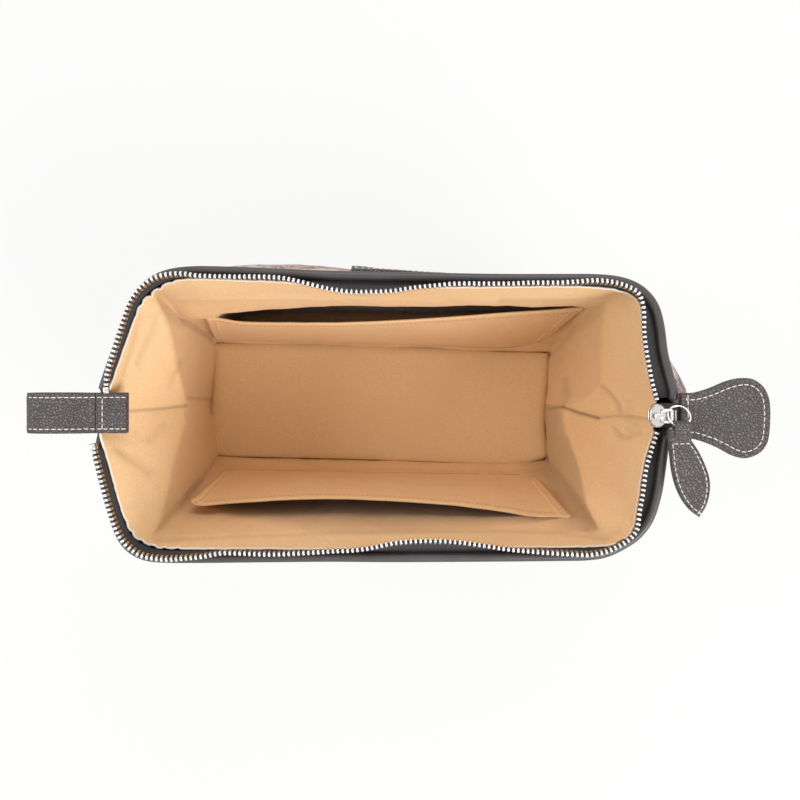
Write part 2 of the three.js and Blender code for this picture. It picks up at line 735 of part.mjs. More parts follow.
function rectangleAround(x, y, sizeX, sizeY) {
  const corners = [
    [-1, -1],
    [1, -1],
    [1, 1],
    [-1, 1],
  ];
  return corners.map(([u, v]) => new THREE.Vector2(x + (u * sizeX) / 2, y + (v * sizeY) / 2));
}

function addLink() {
  const centreX = LINK_INNER_X + LINK_LENGTH / 2;
  const shape = new THREE.Shape(rectangleAround(centreX, 0, LINK_LENGTH, LINK_WIDTH));
  const eye = rectangleAround(centreX, 0, LINK_LENGTH - 2 * LINK_WIRE, LINK_WIDTH - 2 * LINK_WIRE);
  shape.holes.push(new THREE.Path(eye));
  addPiece("pull_link", plate(shape, LINK_BOTTOM, LINK_WIRE), "metal");
}

// Ring: hooked in the link's eye at its left, tilted so that its front side stands up.

const RING_RADIUS = (RING_DIAMETER - RING_WIRE) / 2;
const RING_CENTRE = new THREE.Vector3(
  LINK_OUTER_X - LINK_WIRE - GAP - RING_WIRE / 2 + RING_RADIUS,
  0,
  LINK_MIDDLE,
);

function addRing() {
  const ring = new THREE.TorusGeometry(RING_RADIUS, RING_WIRE / 2, RING_WIRE_FACETS, ROUND_STEPS);
  ring.rotateX(-RING_TILT);
  ring.translate(RING_CENTRE.x, RING_CENTRE.y, RING_CENTRE.z);
  addPiece("pull_ring", facingOut(ring), "metal");
}

// Leaf pull: one strip folded round the ring and sewn to itself, cut to a leaf.

const LEAF_THICKNESS = 2 * LEAF_LAYER;
const LEAF_ROOT = new THREE.Vector3(
  RING_CENTRE.x,
  -RING_RADIUS * Math.cos(RING_TILT),
  RING_CENTRE.z + RING_RADIUS * Math.sin(RING_TILT),
);

function leafOutline() {
  const neck = LEAF_NECK_WIDTH / 2;
  const shoulder = LEAF_SHOULDER_WIDTH / 2;
  const half = LEAF_WIDTH / 2;
  const start = LEAF_EYE_RADIUS;
  const shape = new THREE.Shape();
  shape.moveTo(-neck, -start);
  shape.lineTo(neck, -start);
  shape.lineTo(shoulder, -start - shoulder);
  shape.quadraticCurveTo(half, -LEAF_LENGTH * LEAF_SHOULDER_SHARE, half, -LEAF_LENGTH * LEAF_WIDEST_SHARE);
  shape.quadraticCurveTo(half, -LEAF_LENGTH * LEAF_TIP_SHARE, 0, -LEAF_LENGTH);
  shape.quadraticCurveTo(-half, -LEAF_LENGTH * LEAF_TIP_SHARE, -half, -LEAF_LENGTH * LEAF_WIDEST_SHARE);
  shape.quadraticCurveTo(-half, -LEAF_LENGTH * LEAF_SHOULDER_SHARE, -shoulder, -start - shoulder);
  return shape;
}

function leafEye() {
  const outer = LEAF_EYE_RADIUS + LEAF_LAYER;
  const eye = new THREE.CylinderGeometry(outer, outer, LEAF_NECK_WIDTH, EYE_FACETS);
  const bore = new THREE.CylinderGeometry(LEAF_EYE_RADIUS, LEAF_EYE_RADIUS, LEAF_NECK_WIDTH + 2 * CUT, BORE_FACETS);
  eye.rotateZ(Math.PI / 2);
  bore.rotateZ(Math.PI / 2);
  return { eye: toSolid(eye), bore: toSolid(bore) };
}

function addLeaf() {
  const { eye, bore } = leafEye();
  const blade = toSolid(plate(leafOutline(), -LEAF_LAYER, LEAF_THICKNESS, LEAF_STEPS));
  const leaf = fromSolid(eye.add(blade).subtract(bore));
  leaf.rotateX(LEAF_DROOP);
  leaf.rotateZ(LEAF_TURN);
  leaf.translate(LEAF_ROOT.x, LEAF_ROOT.y, LEAF_ROOT.z);
  addPiece("leaf_pull", leaf, "leather");
}

// Tab: a fan of two leather layers round a core, sewn over the tail of the zip's tapes.

function tabOutline(inset) {
  const start = TAB_START_X;
  const end = TAB_START_X + TAB_LENGTH - inset;
  const neck = TAB_NECK_WIDTH / 2 - inset;
  const half = TAB_WIDTH / 2 - inset;
  const bow = end - TAB_END_BOW;
  const flare = TAB_START_X + TAB_LENGTH / 3;
  const shape = new THREE.Shape();
  shape.moveTo(start, -neck);
  shape.quadraticCurveTo(flare, -neck, bow - TAB_CORNER, -half);
  shape.quadraticCurveTo(bow, -half - TAB_END_BOW / 4, bow, -half + TAB_CORNER);
  shape.quadraticCurveTo(end, 0, bow, half - TAB_CORNER);
  shape.quadraticCurveTo(bow, half + TAB_END_BOW / 4, bow - TAB_CORNER, half);
  shape.quadraticCurveTo(flare, neck, start, neck);
  return shape;
}

function addTab() {
  const under = MOUTH_HEIGHT + TAB_HEIGHT;
  addPiece("end_tab_under", plate(tabOutline(0), under, TAB_LAYER, TAB_STEPS), "leather");
  addPiece("end_tab_core", plate(tabOutline(CORE_INSET), TAIL_BOTTOM, TAIL_THICKNESS, TAB_STEPS), "board");
  addPiece("end_tab_top", plate(tabOutline(0), TAIL_TOP + GAP, TAB_LAYER, TAB_STEPS), "leather");
}

// Tail: the tapes joined behind the slider, up to the tab, with the last teeth on them.
// Its end turns down to the gusset's top edge, where it is sewn.

function addTail() {
  const from = SLIDER_NOSE_X;
  const to = TAB_START_X - GAP;
  const tail = new THREE.Shape(rectangleAround((from + to) / 2, 0, to - from, TAIL_WIDTH));
  const legFoot = Math.min(WALL_TOP, GUSSET_LINING_TOP) + GAP;
  const legHeight = TAIL_TOP - legFoot;
  const legX = MOUTH_POINT_X - WALL_THICKNESS;
  const leg = toSolid(box(TAIL_LEG_THICKNESS, TAIL_WIDTH, legHeight, legX, 0, legFoot + legHeight / 2));
  const strip = toSolid(plate(tail, TAIL_BOTTOM, TAIL_THICKNESS));
  addPiece("tape_tail", fromSolid(strip.add(leg)), "tape");
  const teeth = new THREE.Shape();
  const start = SLIDER_REAR_X + GAP;
  const pairs = Math.floor((TAB_START_X - GAP - start) / TOOTH_PITCH);
  const wide = CHAIN_TAIL_WIDTH / 2;
  const narrow = wide - (TOOTH_PITCH - TOOTH_WIDTH) / 2;
  const edge = range(0, pairs - 1).flatMap((i) => {
    const x = start + i * TOOTH_PITCH;
    return [
      [x, wide],
      [x + TOOTH_WIDTH, wide],
      [x + TOOTH_WIDTH, narrow],
      [x + TOOTH_PITCH, narrow],
    ];
  });
  const mirrored = edge.map(([x, y]) => [x, -y]).reverse();
  teeth.setFromPoints([...edge, ...mirrored].map(([x, y]) => new THREE.Vector2(x, y)));
  addPiece("chain_tail", plate(teeth, TAIL_TOP + GAP, CHAIN_TAIL_HEIGHT), "metal");
}

// Grab loop: a strap folded back on itself. Its two ends, sewn together inside the bag, are the anchor.

function loopOutline(shrink) {
  const thin = Math.max(LOOP_STRAP - shrink, GAP / 2);
  const swell = LOOP_SWELL / 2 - shrink;
  const seam = LOOP_SEAM_X - shrink;
  const end = LOOP_END_X + shrink;
  const swellX = THREE.MathUtils.lerp(LOOP_SEAM_X, LOOP_END_X, LOOP_SWELL_SHARE);
  const from = shrink ? seam : LOOP_BEND_X - GAP / 2;
  const path = new THREE.Shape();
  path.moveTo(from, -thin);
  if (!shrink) path.lineTo(seam, -thin);
  path.bezierCurveTo(seam - LOOP_SWELL, -thin, swellX + LOOP_SWELL, -swell, swellX, -swell);
  path.bezierCurveTo(swellX - LOOP_SWELL, -swell, end, -swell, end, 0);
  path.bezierCurveTo(end, swell, swellX - LOOP_SWELL, swell, swellX, swell);
  path.bezierCurveTo(swellX + LOOP_SWELL, swell, seam - LOOP_SWELL, thin, seam, thin);
  if (!shrink) path.lineTo(from, thin);
  return path;
}

function addGrabLoop() {
  const height = MOUTH_HEIGHT + LOOP_HEIGHT;
  const whole = acrossBag(loopOutline(0), LOOP_WIDTH, height, LOOP_STEPS);
  const inside = acrossBag(loopOutline(LOOP_STRAP), LOOP_WIDTH + 2 * CUT, height, LOOP_STEPS);
  const anchorEnd = LOOP_BEND_X + GAP / 2;
  const anchorLength = LOOP_INNER_X - anchorEnd;
  const anchorX = (LOOP_INNER_X + anchorEnd) / 2;
  addPiece("loop_anchor", facingOut(box(anchorLength, LOOP_WIDTH, 2 * LOOP_STRAP, anchorX, 0, height)), "leather");
  addPiece("grab_loop", fromSolid(toSolid(whole).subtract(toSolid(inside))), "leather");
}

addBase();
addWallAndLining("front", panelPlaces(FRONT), PANEL_SPLIT_HEIGHT, LINING_TOP);
addWallAndLining("back", panelPlaces(BACK), PANEL_SPLIT_HEIGHT, LINING_TOP);
addWallAndLining("right", gussetPlaces(RIGHT), GUSSET_SPLIT_HEIGHT, GUSSET_LINING_TOP);
addWallAndLining("left", gussetPlaces(LEFT), GUSSET_SPLIT_HEIGHT, GUSSET_LINING_TOP);
addPocket("front_pocket", FRONT);
addPocket("back_pocket", BACK);
addFrame("front", FRONT);
addFrame("back", BACK);
addSlider();
addLink();
addRing();
addLeaf();
addTab();
addTail();
addGrabLoop();

export default bag;
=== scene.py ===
import math

import bpy
import numpy as np
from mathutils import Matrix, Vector, noise


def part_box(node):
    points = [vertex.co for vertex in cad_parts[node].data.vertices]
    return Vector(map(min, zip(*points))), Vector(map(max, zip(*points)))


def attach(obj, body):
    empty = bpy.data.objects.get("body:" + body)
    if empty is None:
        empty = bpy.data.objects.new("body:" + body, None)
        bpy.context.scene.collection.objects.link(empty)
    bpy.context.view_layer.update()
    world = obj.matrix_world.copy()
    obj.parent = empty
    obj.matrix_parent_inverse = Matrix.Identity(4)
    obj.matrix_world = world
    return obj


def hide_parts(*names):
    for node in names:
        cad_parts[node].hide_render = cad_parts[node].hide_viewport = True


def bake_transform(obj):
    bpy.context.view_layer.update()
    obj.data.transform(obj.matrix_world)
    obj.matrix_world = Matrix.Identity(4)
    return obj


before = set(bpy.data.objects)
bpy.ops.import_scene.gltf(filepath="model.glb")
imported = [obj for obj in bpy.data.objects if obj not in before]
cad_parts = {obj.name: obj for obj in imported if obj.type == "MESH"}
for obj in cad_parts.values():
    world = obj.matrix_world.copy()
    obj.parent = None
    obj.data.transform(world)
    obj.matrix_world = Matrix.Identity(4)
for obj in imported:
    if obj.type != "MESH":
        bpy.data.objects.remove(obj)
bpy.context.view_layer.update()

MM = 0.001
RIM_Z = 132.0
PIXEL_AT_RIM = 0.5  # millimetres
EYE_Z = 567.0  # the camera's height over the ground
EYE_X, EYE_Y = -6.0, 25.0
NADIR_PX = (375.0, 365.0)  # the pixel straight under the camera
FRONT, BACK = -1, 1
SIDE_NAMES = {FRONT: "front", BACK: "back"}
END_OF = {FRONT: "right", BACK: "left"}  # the end whose nodes a half stands for
LOW_TOP = 84.0  # the walls' lower strip ends here
OUTER_FOOT, OUTER_TOP = 0.3, 131.0
LINING_FOOT, CUSHION_TOP, LINING_TOP = 2.4, 6.4, 131.5


# Places: a pixel of the photograph at a height, as millimetres in the part's frame


def pixel_size(z):
    return PIXEL_AT_RIM * (EYE_Z - z) / (EYE_Z - RIM_Z)


def place(px, py, z):
    k = pixel_size(z)
    return (EYE_X + (px - NADIR_PX[0]) * k, EYE_Y + (NADIR_PX[1] - py) * k, z)


def pixel(p):
    k = pixel_size(p[2])
    return ((p[0] - EYE_X) / k + NADIR_PX[0], NADIR_PX[1] - (p[1] - EYE_Y) / k)


# Curves

CURVE_STEPS = 24


def smooth_curve(points, count, closed=False):
    """Catmull-Rom through the points, evenly spaced by length."""
    p = np.array(points, float)
    if closed:
        p = np.vstack([p[-1], p, p[0], p[1]])
    else:
        p = np.vstack([2 * p[0] - p[1], p, 2 * p[-1] - p[-2]])
    fine = []
    for a, b, c, d in zip(p, p[1:], p[2:], p[3:]):
        for t in np.linspace(0, 1, CURVE_STEPS, endpoint=False):
            bend = (2 * a - 5 * b + 4 * c - d) * t * t
            fine.append(0.5 * (2 * b + (c - a) * t + bend + (3 * b - a - 3 * c + d) * t**3))
    fine.append(p[-2])
    return resample(np.array(fine), count)


def walked(line):
    """How far along the line each of its points is."""
    return np.concatenate([[0], np.cumsum(np.linalg.norm(np.diff(line, axis=0), axis=1))])


def resample(line, count):
    line = np.asarray(line, float)
    at = walked(line)
    want = np.linspace(0, at[-1], count)
    return np.stack([np.interp(want, at, line[:, k]) for k in range(line.shape[1])], axis=1)


def at_height(flat, z):
    return np.column_stack([flat, np.full(len(flat), z)])


def full_turn(count):
    return np.linspace(0, 2 * math.pi, count, endpoint=False)


def length_of(line):
    return float(np.linalg.norm(np.diff(line, axis=0), axis=1).sum())


def unit(v):
    n = np.linalg.norm(v, axis=-1, keepdims=True)
    return v / np.maximum(n, 1e-9)


def tangents(line):
    return unit(np.gradient(np.asarray(line, float), axis=0))


def smoothstep(t):
    return t * t * (3 - 2 * t)


def inward(line, side):
    """The way in at each point of a half line."""
    t = tangents(line)
    return np.stack([-t[:, 1], t[:, 0]], axis=1) * side


def closed_inward(outline):
    """The way in at each point of a closed outline, and whether it runs counter-clockwise."""
    after = np.roll(outline, -1, axis=0)
    t = unit(after - np.roll(outline, 1, axis=0))
    area = 0.5 * np.sum(outline[:, 0] * after[:, 1] - after[:, 0] * outline[:, 1])
    return np.stack([-t[:, 1], t[:, 0]], axis=1) * (1 if area > 0 else -1), area > 0


def ripple(p, *parts, base=0.0):
    """Smooth random height at a point: each part is a height and how fine it is."""
    q = Vector(p)
    for high, fine in parts:
        base += high * noise.noise(q * fine)
    return base


# Meshes: a shape is its points in millimetres and its faces


def make(name, shape, look, body, replaces=(), smooth=True):
    verts, faces = shape
    mesh = bpy.data.meshes.new(name)
    mesh.from_pydata((np.asarray(verts, float) * MM).tolist(), [], [list(f) for f in faces])
    mesh.validate()
    mesh.update()
    if smooth:
        mesh.polygons.foreach_set("use_smooth", [True] * len(mesh.polygons))
    mesh.materials.append(look)
    obj = bpy.data.objects.new(name, mesh)
    bpy.context.scene.collection.objects.link(obj)
    if body:
        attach(obj, body)
    if replaces:
        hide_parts(*replaces)
    return obj


def bevel(obj, width):
    edge = obj.modifiers.new("Bevel", "BEVEL")
    edge.width = width * MM
    edge.segments = 2
    edge.limit_method = "ANGLE"


def grid_faces(rows, cols, wrap=False, flip=False, base=0):
    faces = []
    last = cols if wrap else cols - 1
    for r in range(rows - 1):
        for c in range(last):
            a, b = r * cols + c, r * cols + (c + 1) % cols
            quad = (a, b, b + cols, a + cols)
            faces.append(tuple(base + i for i in (quad[::-1] if flip else quad)))
    return faces


def sheet_mesh(grid, thickness, outward):
    """A cloth of even thickness from a grid of points: the grid's side, and a second one moved outward."""
    rows, cols = grid.shape[:2]
    far = grid + outward * thickness
    verts = np.concatenate([grid.reshape(-1, 3), far.reshape(-1, 3)])
    n = rows * cols
    faces = grid_faces(rows, cols) + grid_faces(rows, cols, flip=True, base=n)
    at = np.arange(n).reshape(rows, cols)
    rim = np.concatenate([at[0], at[1:, -1], at[-1, -2::-1], at[-2:0:-1, 0]]).tolist()
    for a, b in zip(rim, rim[1:] + rim[:1]):
        faces.append((b, a, a + n, b + n))
    return verts, faces


def lofted(rings, flip=False):
    """A closed body through rings of points, with a lid on the first ring and on the last."""
    count, n = rings.shape[:2]
    first, last = tuple(range(n)), tuple(range((count - 1) * n, count * n))
    lids = [first, last[::-1]] if flip else [first[::-1], last]
    return rings.reshape(-1, 3), grid_faces(count, n, wrap=True, flip=flip) + lids


def tube_mesh(line, radius, sides=16, squash=1.0, up=(0, 0, 1), closed=False):
    """A tube along a line. The radius may change along it; squash flattens it along up."""
    line = np.asarray(line, float)
    run = tangents(line)
    if closed:
        run = unit(np.roll(line, -1, axis=0) - np.roll(line, 1, axis=0))
    side = unit(np.cross(run, np.array(up, float)))
    top = np.cross(side, run)
    radius = np.broadcast_to(np.asarray(radius, float), (len(line),))[:, None, None]
    turn = full_turn(sides)[None, :, None]
    rings = line[:, None] + radius * np.cos(turn) * side[:, None]
    rings = rings + squash * radius * np.sin(turn) * top[:, None]
    if not closed:
        return lofted(rings)
    n = (len(line) - 1) * sides
    seam = [(n + k, n + (k + 1) % sides, (k + 1) % sides, k) for k in range(sides)]
    return rings.reshape(-1, 3), grid_faces(len(line), sides, wrap=True) + seam


def joined(parts):
    verts, faces, base = [], [], 0
    for v, f in parts:
        verts.append(np.asarray(v, float))
        faces += [tuple(i + base for i in face) for face in f]
        base += len(v)
    return np.concatenate(verts), faces


# A stitch is its pitch, its visible length and the thread's radius.

STITCH_STEPS, STITCH_SINK = 12, 0.1


def stitch_line(line, normal, stitch):
    """Short twisted threads along a line, each dipping into the leather at both ends."""
    pitch, dash, radius = stitch
    line, normal = np.asarray(line, float), np.asarray(normal, float)
    count = max(2, int(round(length_of(line) / pitch)))
    fine = resample(line, count * STITCH_STEPS + 1)
    normals = resample(np.broadcast_to(normal, line.shape), count * STITCH_STEPS + 1)
    arch = np.sin(np.linspace(0, np.pi, int(round(STITCH_STEPS * dash / pitch)) + 1))
    parts = []
    for i in range(count):
        span = slice(i * STITCH_STEPS, i * STITCH_STEPS + len(arch))
        seg = fine[span] + normals[span] * (arch * radius * 0.9 - STITCH_SINK)[:, None]
        parts.append(tube_mesh(seg, radius * (0.55 + 0.45 * arch), 6, up=(0.01, 0.02, 1)))
    return joined(parts)


# Materials


class Nodes:
    """A short way to write a node tree: a socket takes a number, a colour, its code or a node's output."""

    def __init__(self, owner):
        owner.use_nodes = True
        self.owner = owner
        self.nodes = owner.node_tree.nodes
        self.place = self.add("TexCoord").outputs["Object"]

    def into(self, socket, value):
        if isinstance(value, str):
            value = linear(value)
        if isinstance(value, bpy.types.NodeSocket):
            self.owner.node_tree.links.new(value, socket)
        elif isinstance(value, tuple) and socket.type == "RGBA":
            socket.default_value = (*value, 1)
        else:
            socket.default_value = value

    def add(self, kind, sockets=(), **settings):
        node = self.nodes.new("ShaderNode" + kind)
        for key, value in settings.items():
            setattr(node, key, value)
        for key, value in dict(sockets).items():
            self.into(node.inputs[key], value)
        return node

    def scaled(self, scale, turn=(0, 0, 0)):
        sockets = {"Vector": self.place, "Scale": scale, "Rotation": turn}
        return self.add("Mapping", sockets).outputs["Vector"]

    def noise(self, scale, detail=3, rough=0.5, vector=None, distortion=0.0):
        sockets = {"Vector": vector or self.place, "Scale": scale, "Detail": detail}
        sockets |= {"Roughness": rough, "Distortion": distortion}
        return self.add("TexNoise", sockets).outputs["Fac"]

    def cells(self, scale, feature="F1", vector=None):
        sockets = {"Vector": vector or self.place, "Scale": scale, "Randomness": 1.0}
        return self.add("TexVoronoi", sockets, feature=feature).outputs["Distance"]

    def bands(self, scale, axis, turn=None, distortion=0.0):
        vector = self.scaled((1, 1, 1), turn) if turn else self.place
        sockets = {"Vector": vector, "Scale": scale, "Distortion": distortion}
        wave = {"wave_type": "BANDS", "bands_direction": axis, "wave_profile": "SIN"}
        return self.add("TexWave", sockets, **wave).outputs["Fac"]

    def math(self, how, a, b):
        return self.add("Math", {0: a, 1: b}, operation=how).outputs[0]

    def plus(self, a, b):
        return self.math("ADD", a, b)

    def times(self, a, b):
        return self.math("MULTIPLY", a, b)

    def ramp(self, value, *stops):
        """A grey for each stop's place."""
        node = self.add("ValToRGB", {"Fac": value})
        ends = node.color_ramp.elements
        while len(ends) < len(stops):
            ends.new(0.5)
        for element, (at, grey) in zip(ends, stops):
            element.position = at
            element.color = (grey, grey, grey, 1)
        return node.outputs["Color"]

    def mix(self, share, a, b):
        sockets = {"Factor": share, "A": a, "B": b}
        return self.add("Mix", sockets, data_type="RGBA", blend_type="MIX").outputs["Result"]

    def bump(self, height, strength, distance, under=None):
        sockets = {"Strength": strength, "Distance": distance, "Height": height}
        if under is not None:
            sockets["Normal"] = under
        return self.add("Bump", sockets).outputs["Normal"]

    def finish(self, colour, rough, normal=None, **fixed):
        self.shader = self.nodes["Principled BSDF"]
        sockets = {"Base Color": colour, "Roughness": rough}
        if normal is not None:
            sockets["Normal"] = normal
        for key, value in {**sockets, **fixed}.items():
            self.into(self.shader.inputs[key.replace("_", " ")], value)
        return self.owner

    def seen(self):
        """1 for what the camera or a reflection looks at, 0 for light on its way to the bag."""
        rays = self.add("LightPath").outputs
        return self.math("MAXIMUM", rays["Is Camera Ray"], rays["Is Glossy Ray"])


def linear(code):
    values = [int(code[i : i + 2], 16) / 255 for i in (0, 2, 4)]
    return tuple(v / 12.92 if v <= 0.04045 else ((v + 0.055) / 1.055) ** 2.4 for v in values)


def material(name):
    return Nodes(bpy.data.materials.new(name))


def leather_pebbled():
    n = material("leather_pebbled")
    wobble = n.add("TexNoise", {"Vector": n.place, "Scale": 350})
    warp = n.add("VectorMath", operation="MULTIPLY_ADD")
    for k, value in enumerate((wobble.outputs["Color"], (0.0007, 0.0007, 0.0007), n.place)):
        n.into(warp.inputs[k], value)
    v = warp.outputs["Vector"]
    edge = n.cells(640, "DISTANCE_TO_EDGE", v)
    small = n.cells(1500, "DISTANCE_TO_EDGE", v)
    pebble = n.ramp(edge, (0.0, 0.0), (0.12, 0.5), (0.36, 1.0))
    fine = n.ramp(small, (0.0, 0.0), (0.3, 1.0))
    patches = n.noise(60, 4, 0.6)
    tone = n.mix(patches, "625D5C", "7D7675")
    # Painted shade: the grooves between the pebbles are darkened towards near black.
    grain = n.mix(n.times(n.math("SUBTRACT", 1.0, pebble), 0.85), tone, "2A2627")
    # Painted highlight: the pebbles' tops are lightened.
    high = n.mix(n.times(n.ramp(edge, (0.3, 0.0), (0.6, 1.0)), 0.3), grain, "8C8482")
    normal = n.bump(n.plus(n.times(pebble, 0.9), n.times(fine, 0.15)), 0.9, 0.0006)
    worn = n.plus(n.times(pebble, -0.25), n.times(patches, 0.2))
    return n.finish(high, n.ramp(worn, (0.0, 0.6), (1.0, 0.4)), normal, Specular_IOR_Level=0.45)


def leather_smooth(name, dark, light):
    n = material(name)
    patches = n.noise(90, 5, 0.6)
    grain = n.noise(2600, 3, 0.6)
    tone = n.mix(patches, dark, light)
    normal = n.bump(n.plus(grain, n.times(n.cells(2400), 0.5)), 0.25, 0.0002)
    return n.finish(tone, n.ramp(patches, (0.3, 0.34), (0.7, 0.46)), normal, Specular_IOR_Level=0.5)


def lining_cloth():
    """A satin weave with specks, with shade painted in towards a dark brown where the attribute says that the
    cloth is in shadow.
    """
    n = material("lining_cloth")
    weave = n.times(n.bands(1500, "X", (0.0, 0.0, 0.6)), n.bands(1500, "Y", (0.5, 0.0, 0.6)))
    speck = n.noise(1300, 2, 0.7)
    tone = n.mix(n.noise(14, 3, 0.5), "EAC392", "F0CD9F")
    shade = n.mix(n.times(n.ramp(speck, (0.42, 1.0), (0.62, 0.0)), 0.28), tone, "CFA06A")
    glint = n.mix(n.times(n.ramp(speck, (0.62, 0.0), (0.75, 1.0)), 0.5), shade, "FADDB8")
    # Painted shade: the dark attribute holds the shade of the creases, the folds and the walls behind the
    # pockets.
    dark = n.add("Attribute", attribute_name="dark").outputs["Fac"]
    soft = n.bump(n.noise(55, 4, 0.55, distortion=0.4), 0.35, 0.002)
    normal = n.bump(n.plus(n.times(weave, 0.4), speck), 0.3, 0.00012, soft)
    return n.finish(n.mix(dark, glint, "2B1A0E"), 0.62, normal, Sheen_Weight=0.2, Sheen_Roughness=0.4)


def canvas_woven():
    """Thick woven canvas: a cream ground with pink, grey and dark yarns floating over it in short runs."""
    n = material("canvas_woven")
    x, y, z = [n.bands(scale, axis, distortion=0.6) for scale, axis in ((330, "X"), (330, "Y"), (300, "Z"))]
    weave = n.math("MAXIMUM", n.math("MAXIMUM", x, y), z)
    long_runs = n.noise(1, 2, 0.5, n.scaled((60, 60, 330)))
    short_runs = n.noise(1, 2, 0.6, n.scaled((130, 130, 520)))
    flecks = n.noise(1, 1, 0.5, n.scaled((420, 420, 700)))
    tone = n.mix(n.ramp(long_runs, (0.46, 0.0), (0.5, 1.0)), "D9CBBB", "C9A39B")
    tone = n.mix(n.ramp(short_runs, (0.55, 0.0), (0.58, 1.0)), tone, "8C8583")
    tone = n.mix(n.ramp(flecks, (0.62, 0.0), (0.66, 1.0)), tone, "4A4446")
    tone = n.mix(n.times(n.math("SUBTRACT", 1.0, weave), 0.5), tone, "6B5F5A")
    normal = n.bump(n.plus(weave, n.times(n.noise(2500, 2, 0.6), 0.25)), 0.6, 0.0005)
    return n.finish(tone, 0.88, normal, Sheen_Weight=0.15)


def tape_cloth():
    n = material("tape_cloth")
    rib = n.bands(900, "X", (0.3, 0.4, 0.8))
    fuzz = n.noise(2200, 2, 0.6)
    return n.finish(n.mix(fuzz, "2A2829", "454242"), 0.85, n.bump(n.plus(rib, fuzz), 0.5, 0.0002))


def plain(name, grain, low, high, rough, bump):
    """One grain that both mixes two tones and raises the surface."""
    n = material(name)
    fuzz = n.noise(*grain)
    return n.finish(n.mix(fuzz, low, high), rough, n.bump(fuzz, bump, 0.0002))


def thread_cotton(name, low, high):
    n = material(name)
    twist = n.bands(1400, "X", (0.0, 0.0, 0.7))
    return n.finish(n.mix(twist, low, high), 0.6, n.bump(twist, 0.5, 0.0001))


def zip_metal(name, low, high):
    """Brushed white metal; low and high are the roughness between its scratches and in them."""
    n = material(name)
    scratch = n.noise(1, 3, 0.6, n.scaled((300, 2600, 900)))
    tone = n.mix(n.noise(120, 3, 0.5), "C9C7C4", "E6E4E1")
    return n.finish(tone, n.ramp(scratch, (0.3, low), (0.7, high)), n.bump(scratch, 0.06, 0.0001), Metallic=1.0)


PEBBLED = leather_pebbled()
SMOOTH = leather_smooth("leather_smooth", "3C3735", "55504F")
EDGE = leather_smooth("leather_edge", "2E2A29", "403B3A")
LINING = lining_cloth()
CANVAS = canvas_woven()
TAPE = tape_cloth()
PIPING = plain("cord_cloth", (1800, 2, 0.6), "E9D9C4", "FBF1E4", 0.8, 0.4)
THREAD = thread_cotton("thread_cotton", "EAD0C6", "FAEFE9")
FINE_THREAD = thread_cotton("thread_fine", "C8925C", "E3B583")
METAL = zip_metal("zip_metal", 0.12, 0.28)
TEETH = zip_metal("teeth_metal", 0.18, 0.36)
BOARD = plain("board_plain", (900, 4, 0.7), "4A3B2C", "5C4A38", 0.8, 0.3)


# Lines of the mouth, from the right end to the left one, as the photograph shows them

ROLL_RADIUS = 2.4
OUTER_PX = {
    BACK: [
        (677, 403), (678, 392.5), (675, 380), (668.1, 353.2), (664.5, 326.4), (659.5, 307), (651, 293.5),
        (638, 283), (620, 276.5), (596, 274), (560, 273.8), (500, 273.8), (440, 272.8), (390, 271.8),
        (330, 270.6), (280, 268.6), (243, 267), (210, 266), (190, 266.2), (172, 268.3), (157, 273.2),
        (142, 283.5), (129.5, 300), (120.6, 322.4), (109.9, 354.5), (103, 374), (97.5, 391),
    ],
    FRONT: [
        (671, 434), (668.3, 450), (665.3, 472), (661.5, 495), (654.5, 518), (645, 533), (632, 544.6),
        (609, 556.5), (588, 560.3), (560, 561), (500, 561.6), (440, 562), (390, 562.2), (330, 561.8),
        (280, 562.2), (240, 562.6), (197, 563), (165, 562.8), (147, 561), (133, 555.5), (122, 546),
        (114, 532), (106, 508), (100, 486), (95, 466), (91.5, 452),
    ],
}
CHAIN_PX = {
    BACK: [
        (657, 401), (651.8, 382), (648.8, 366), (646.8, 355), (644.8, 341), (643.8, 328), (643.8, 316),
        (642.6, 305), (639.5, 295.5), (634, 290), (624, 285.5), (613, 282.5), (601, 281), (590, 281),
        (577, 282), (557, 283), (532, 283), (507, 284), (458, 284), (433, 286), (413, 288), (393, 291),
        (373, 292), (350, 292), (329, 289), (312, 285), (296, 281), (279, 278), (255, 277), (232, 277),
        (199, 276), (184, 274), (169, 274.5), (156, 277.5), (146.3, 282.7), (138.2, 289.8), (132, 297.9),
        (127.9, 306), (122.1, 324), (116.8, 342.5), (111, 361.3), (108, 371), (106.6, 380), (106.5, 387),
    ],
    FRONT: [
        (657, 431), (651, 450), (646, 468), (644, 482), (642, 497), (640, 507), (638.6, 517),
        (636.6, 529.5), (630, 538), (621, 544.6), (607, 551), (594, 553.8), (584, 554.5), (557, 553),
        (529, 551), (507, 549), (487, 546), (466, 543), (441, 541), (416, 541), (394, 543), (375, 547),
        (355, 550), (333, 551), (300, 553), (271, 554), (237, 553), (221, 553), (204, 556), (188, 557.5),
        (169, 559), (155, 558), (141, 555), (130, 548), (121.5, 539), (115, 526), (109, 508), (103, 486),
        (98, 466), (94, 450),
    ],
}
LINING_PX = {
    BACK: [
        (650, 417), (655, 404), (650, 385), (646, 366), (643, 345), (641.5, 325), (640, 308), (636, 299.5),
        (628, 293.5), (613, 289.4), (592, 287.4), (571, 286.6), (530, 286.6), (500, 287), (440, 287.5),
        (390, 287), (330, 285), (273.7, 281.8), (240, 280.5), (212.5, 279.5), (182, 279.7), (171, 282),
        (160, 287), (150, 294), (141, 304), (136, 316), (129.8, 333), (120.6, 359), (110.7, 386.6),
        (104, 402), (100.5, 417),
    ],
    FRONT: [
        (650, 417), (653, 431), (647, 450), (642, 470), (638.5, 495), (636, 512), (633, 527), (626, 538),
        (616, 544), (600, 546), (571.4, 546.8), (500, 547), (440, 547.5), (390, 548), (330, 548.8),
        (280, 548.6), (228, 548.4), (180, 548.4), (160, 547.6), (149, 544.5), (139, 539.5), (131, 531),
        (124.4, 516), (117.6, 494.6), (108.4, 461), (100.7, 435), (100.5, 417),
    ],
}
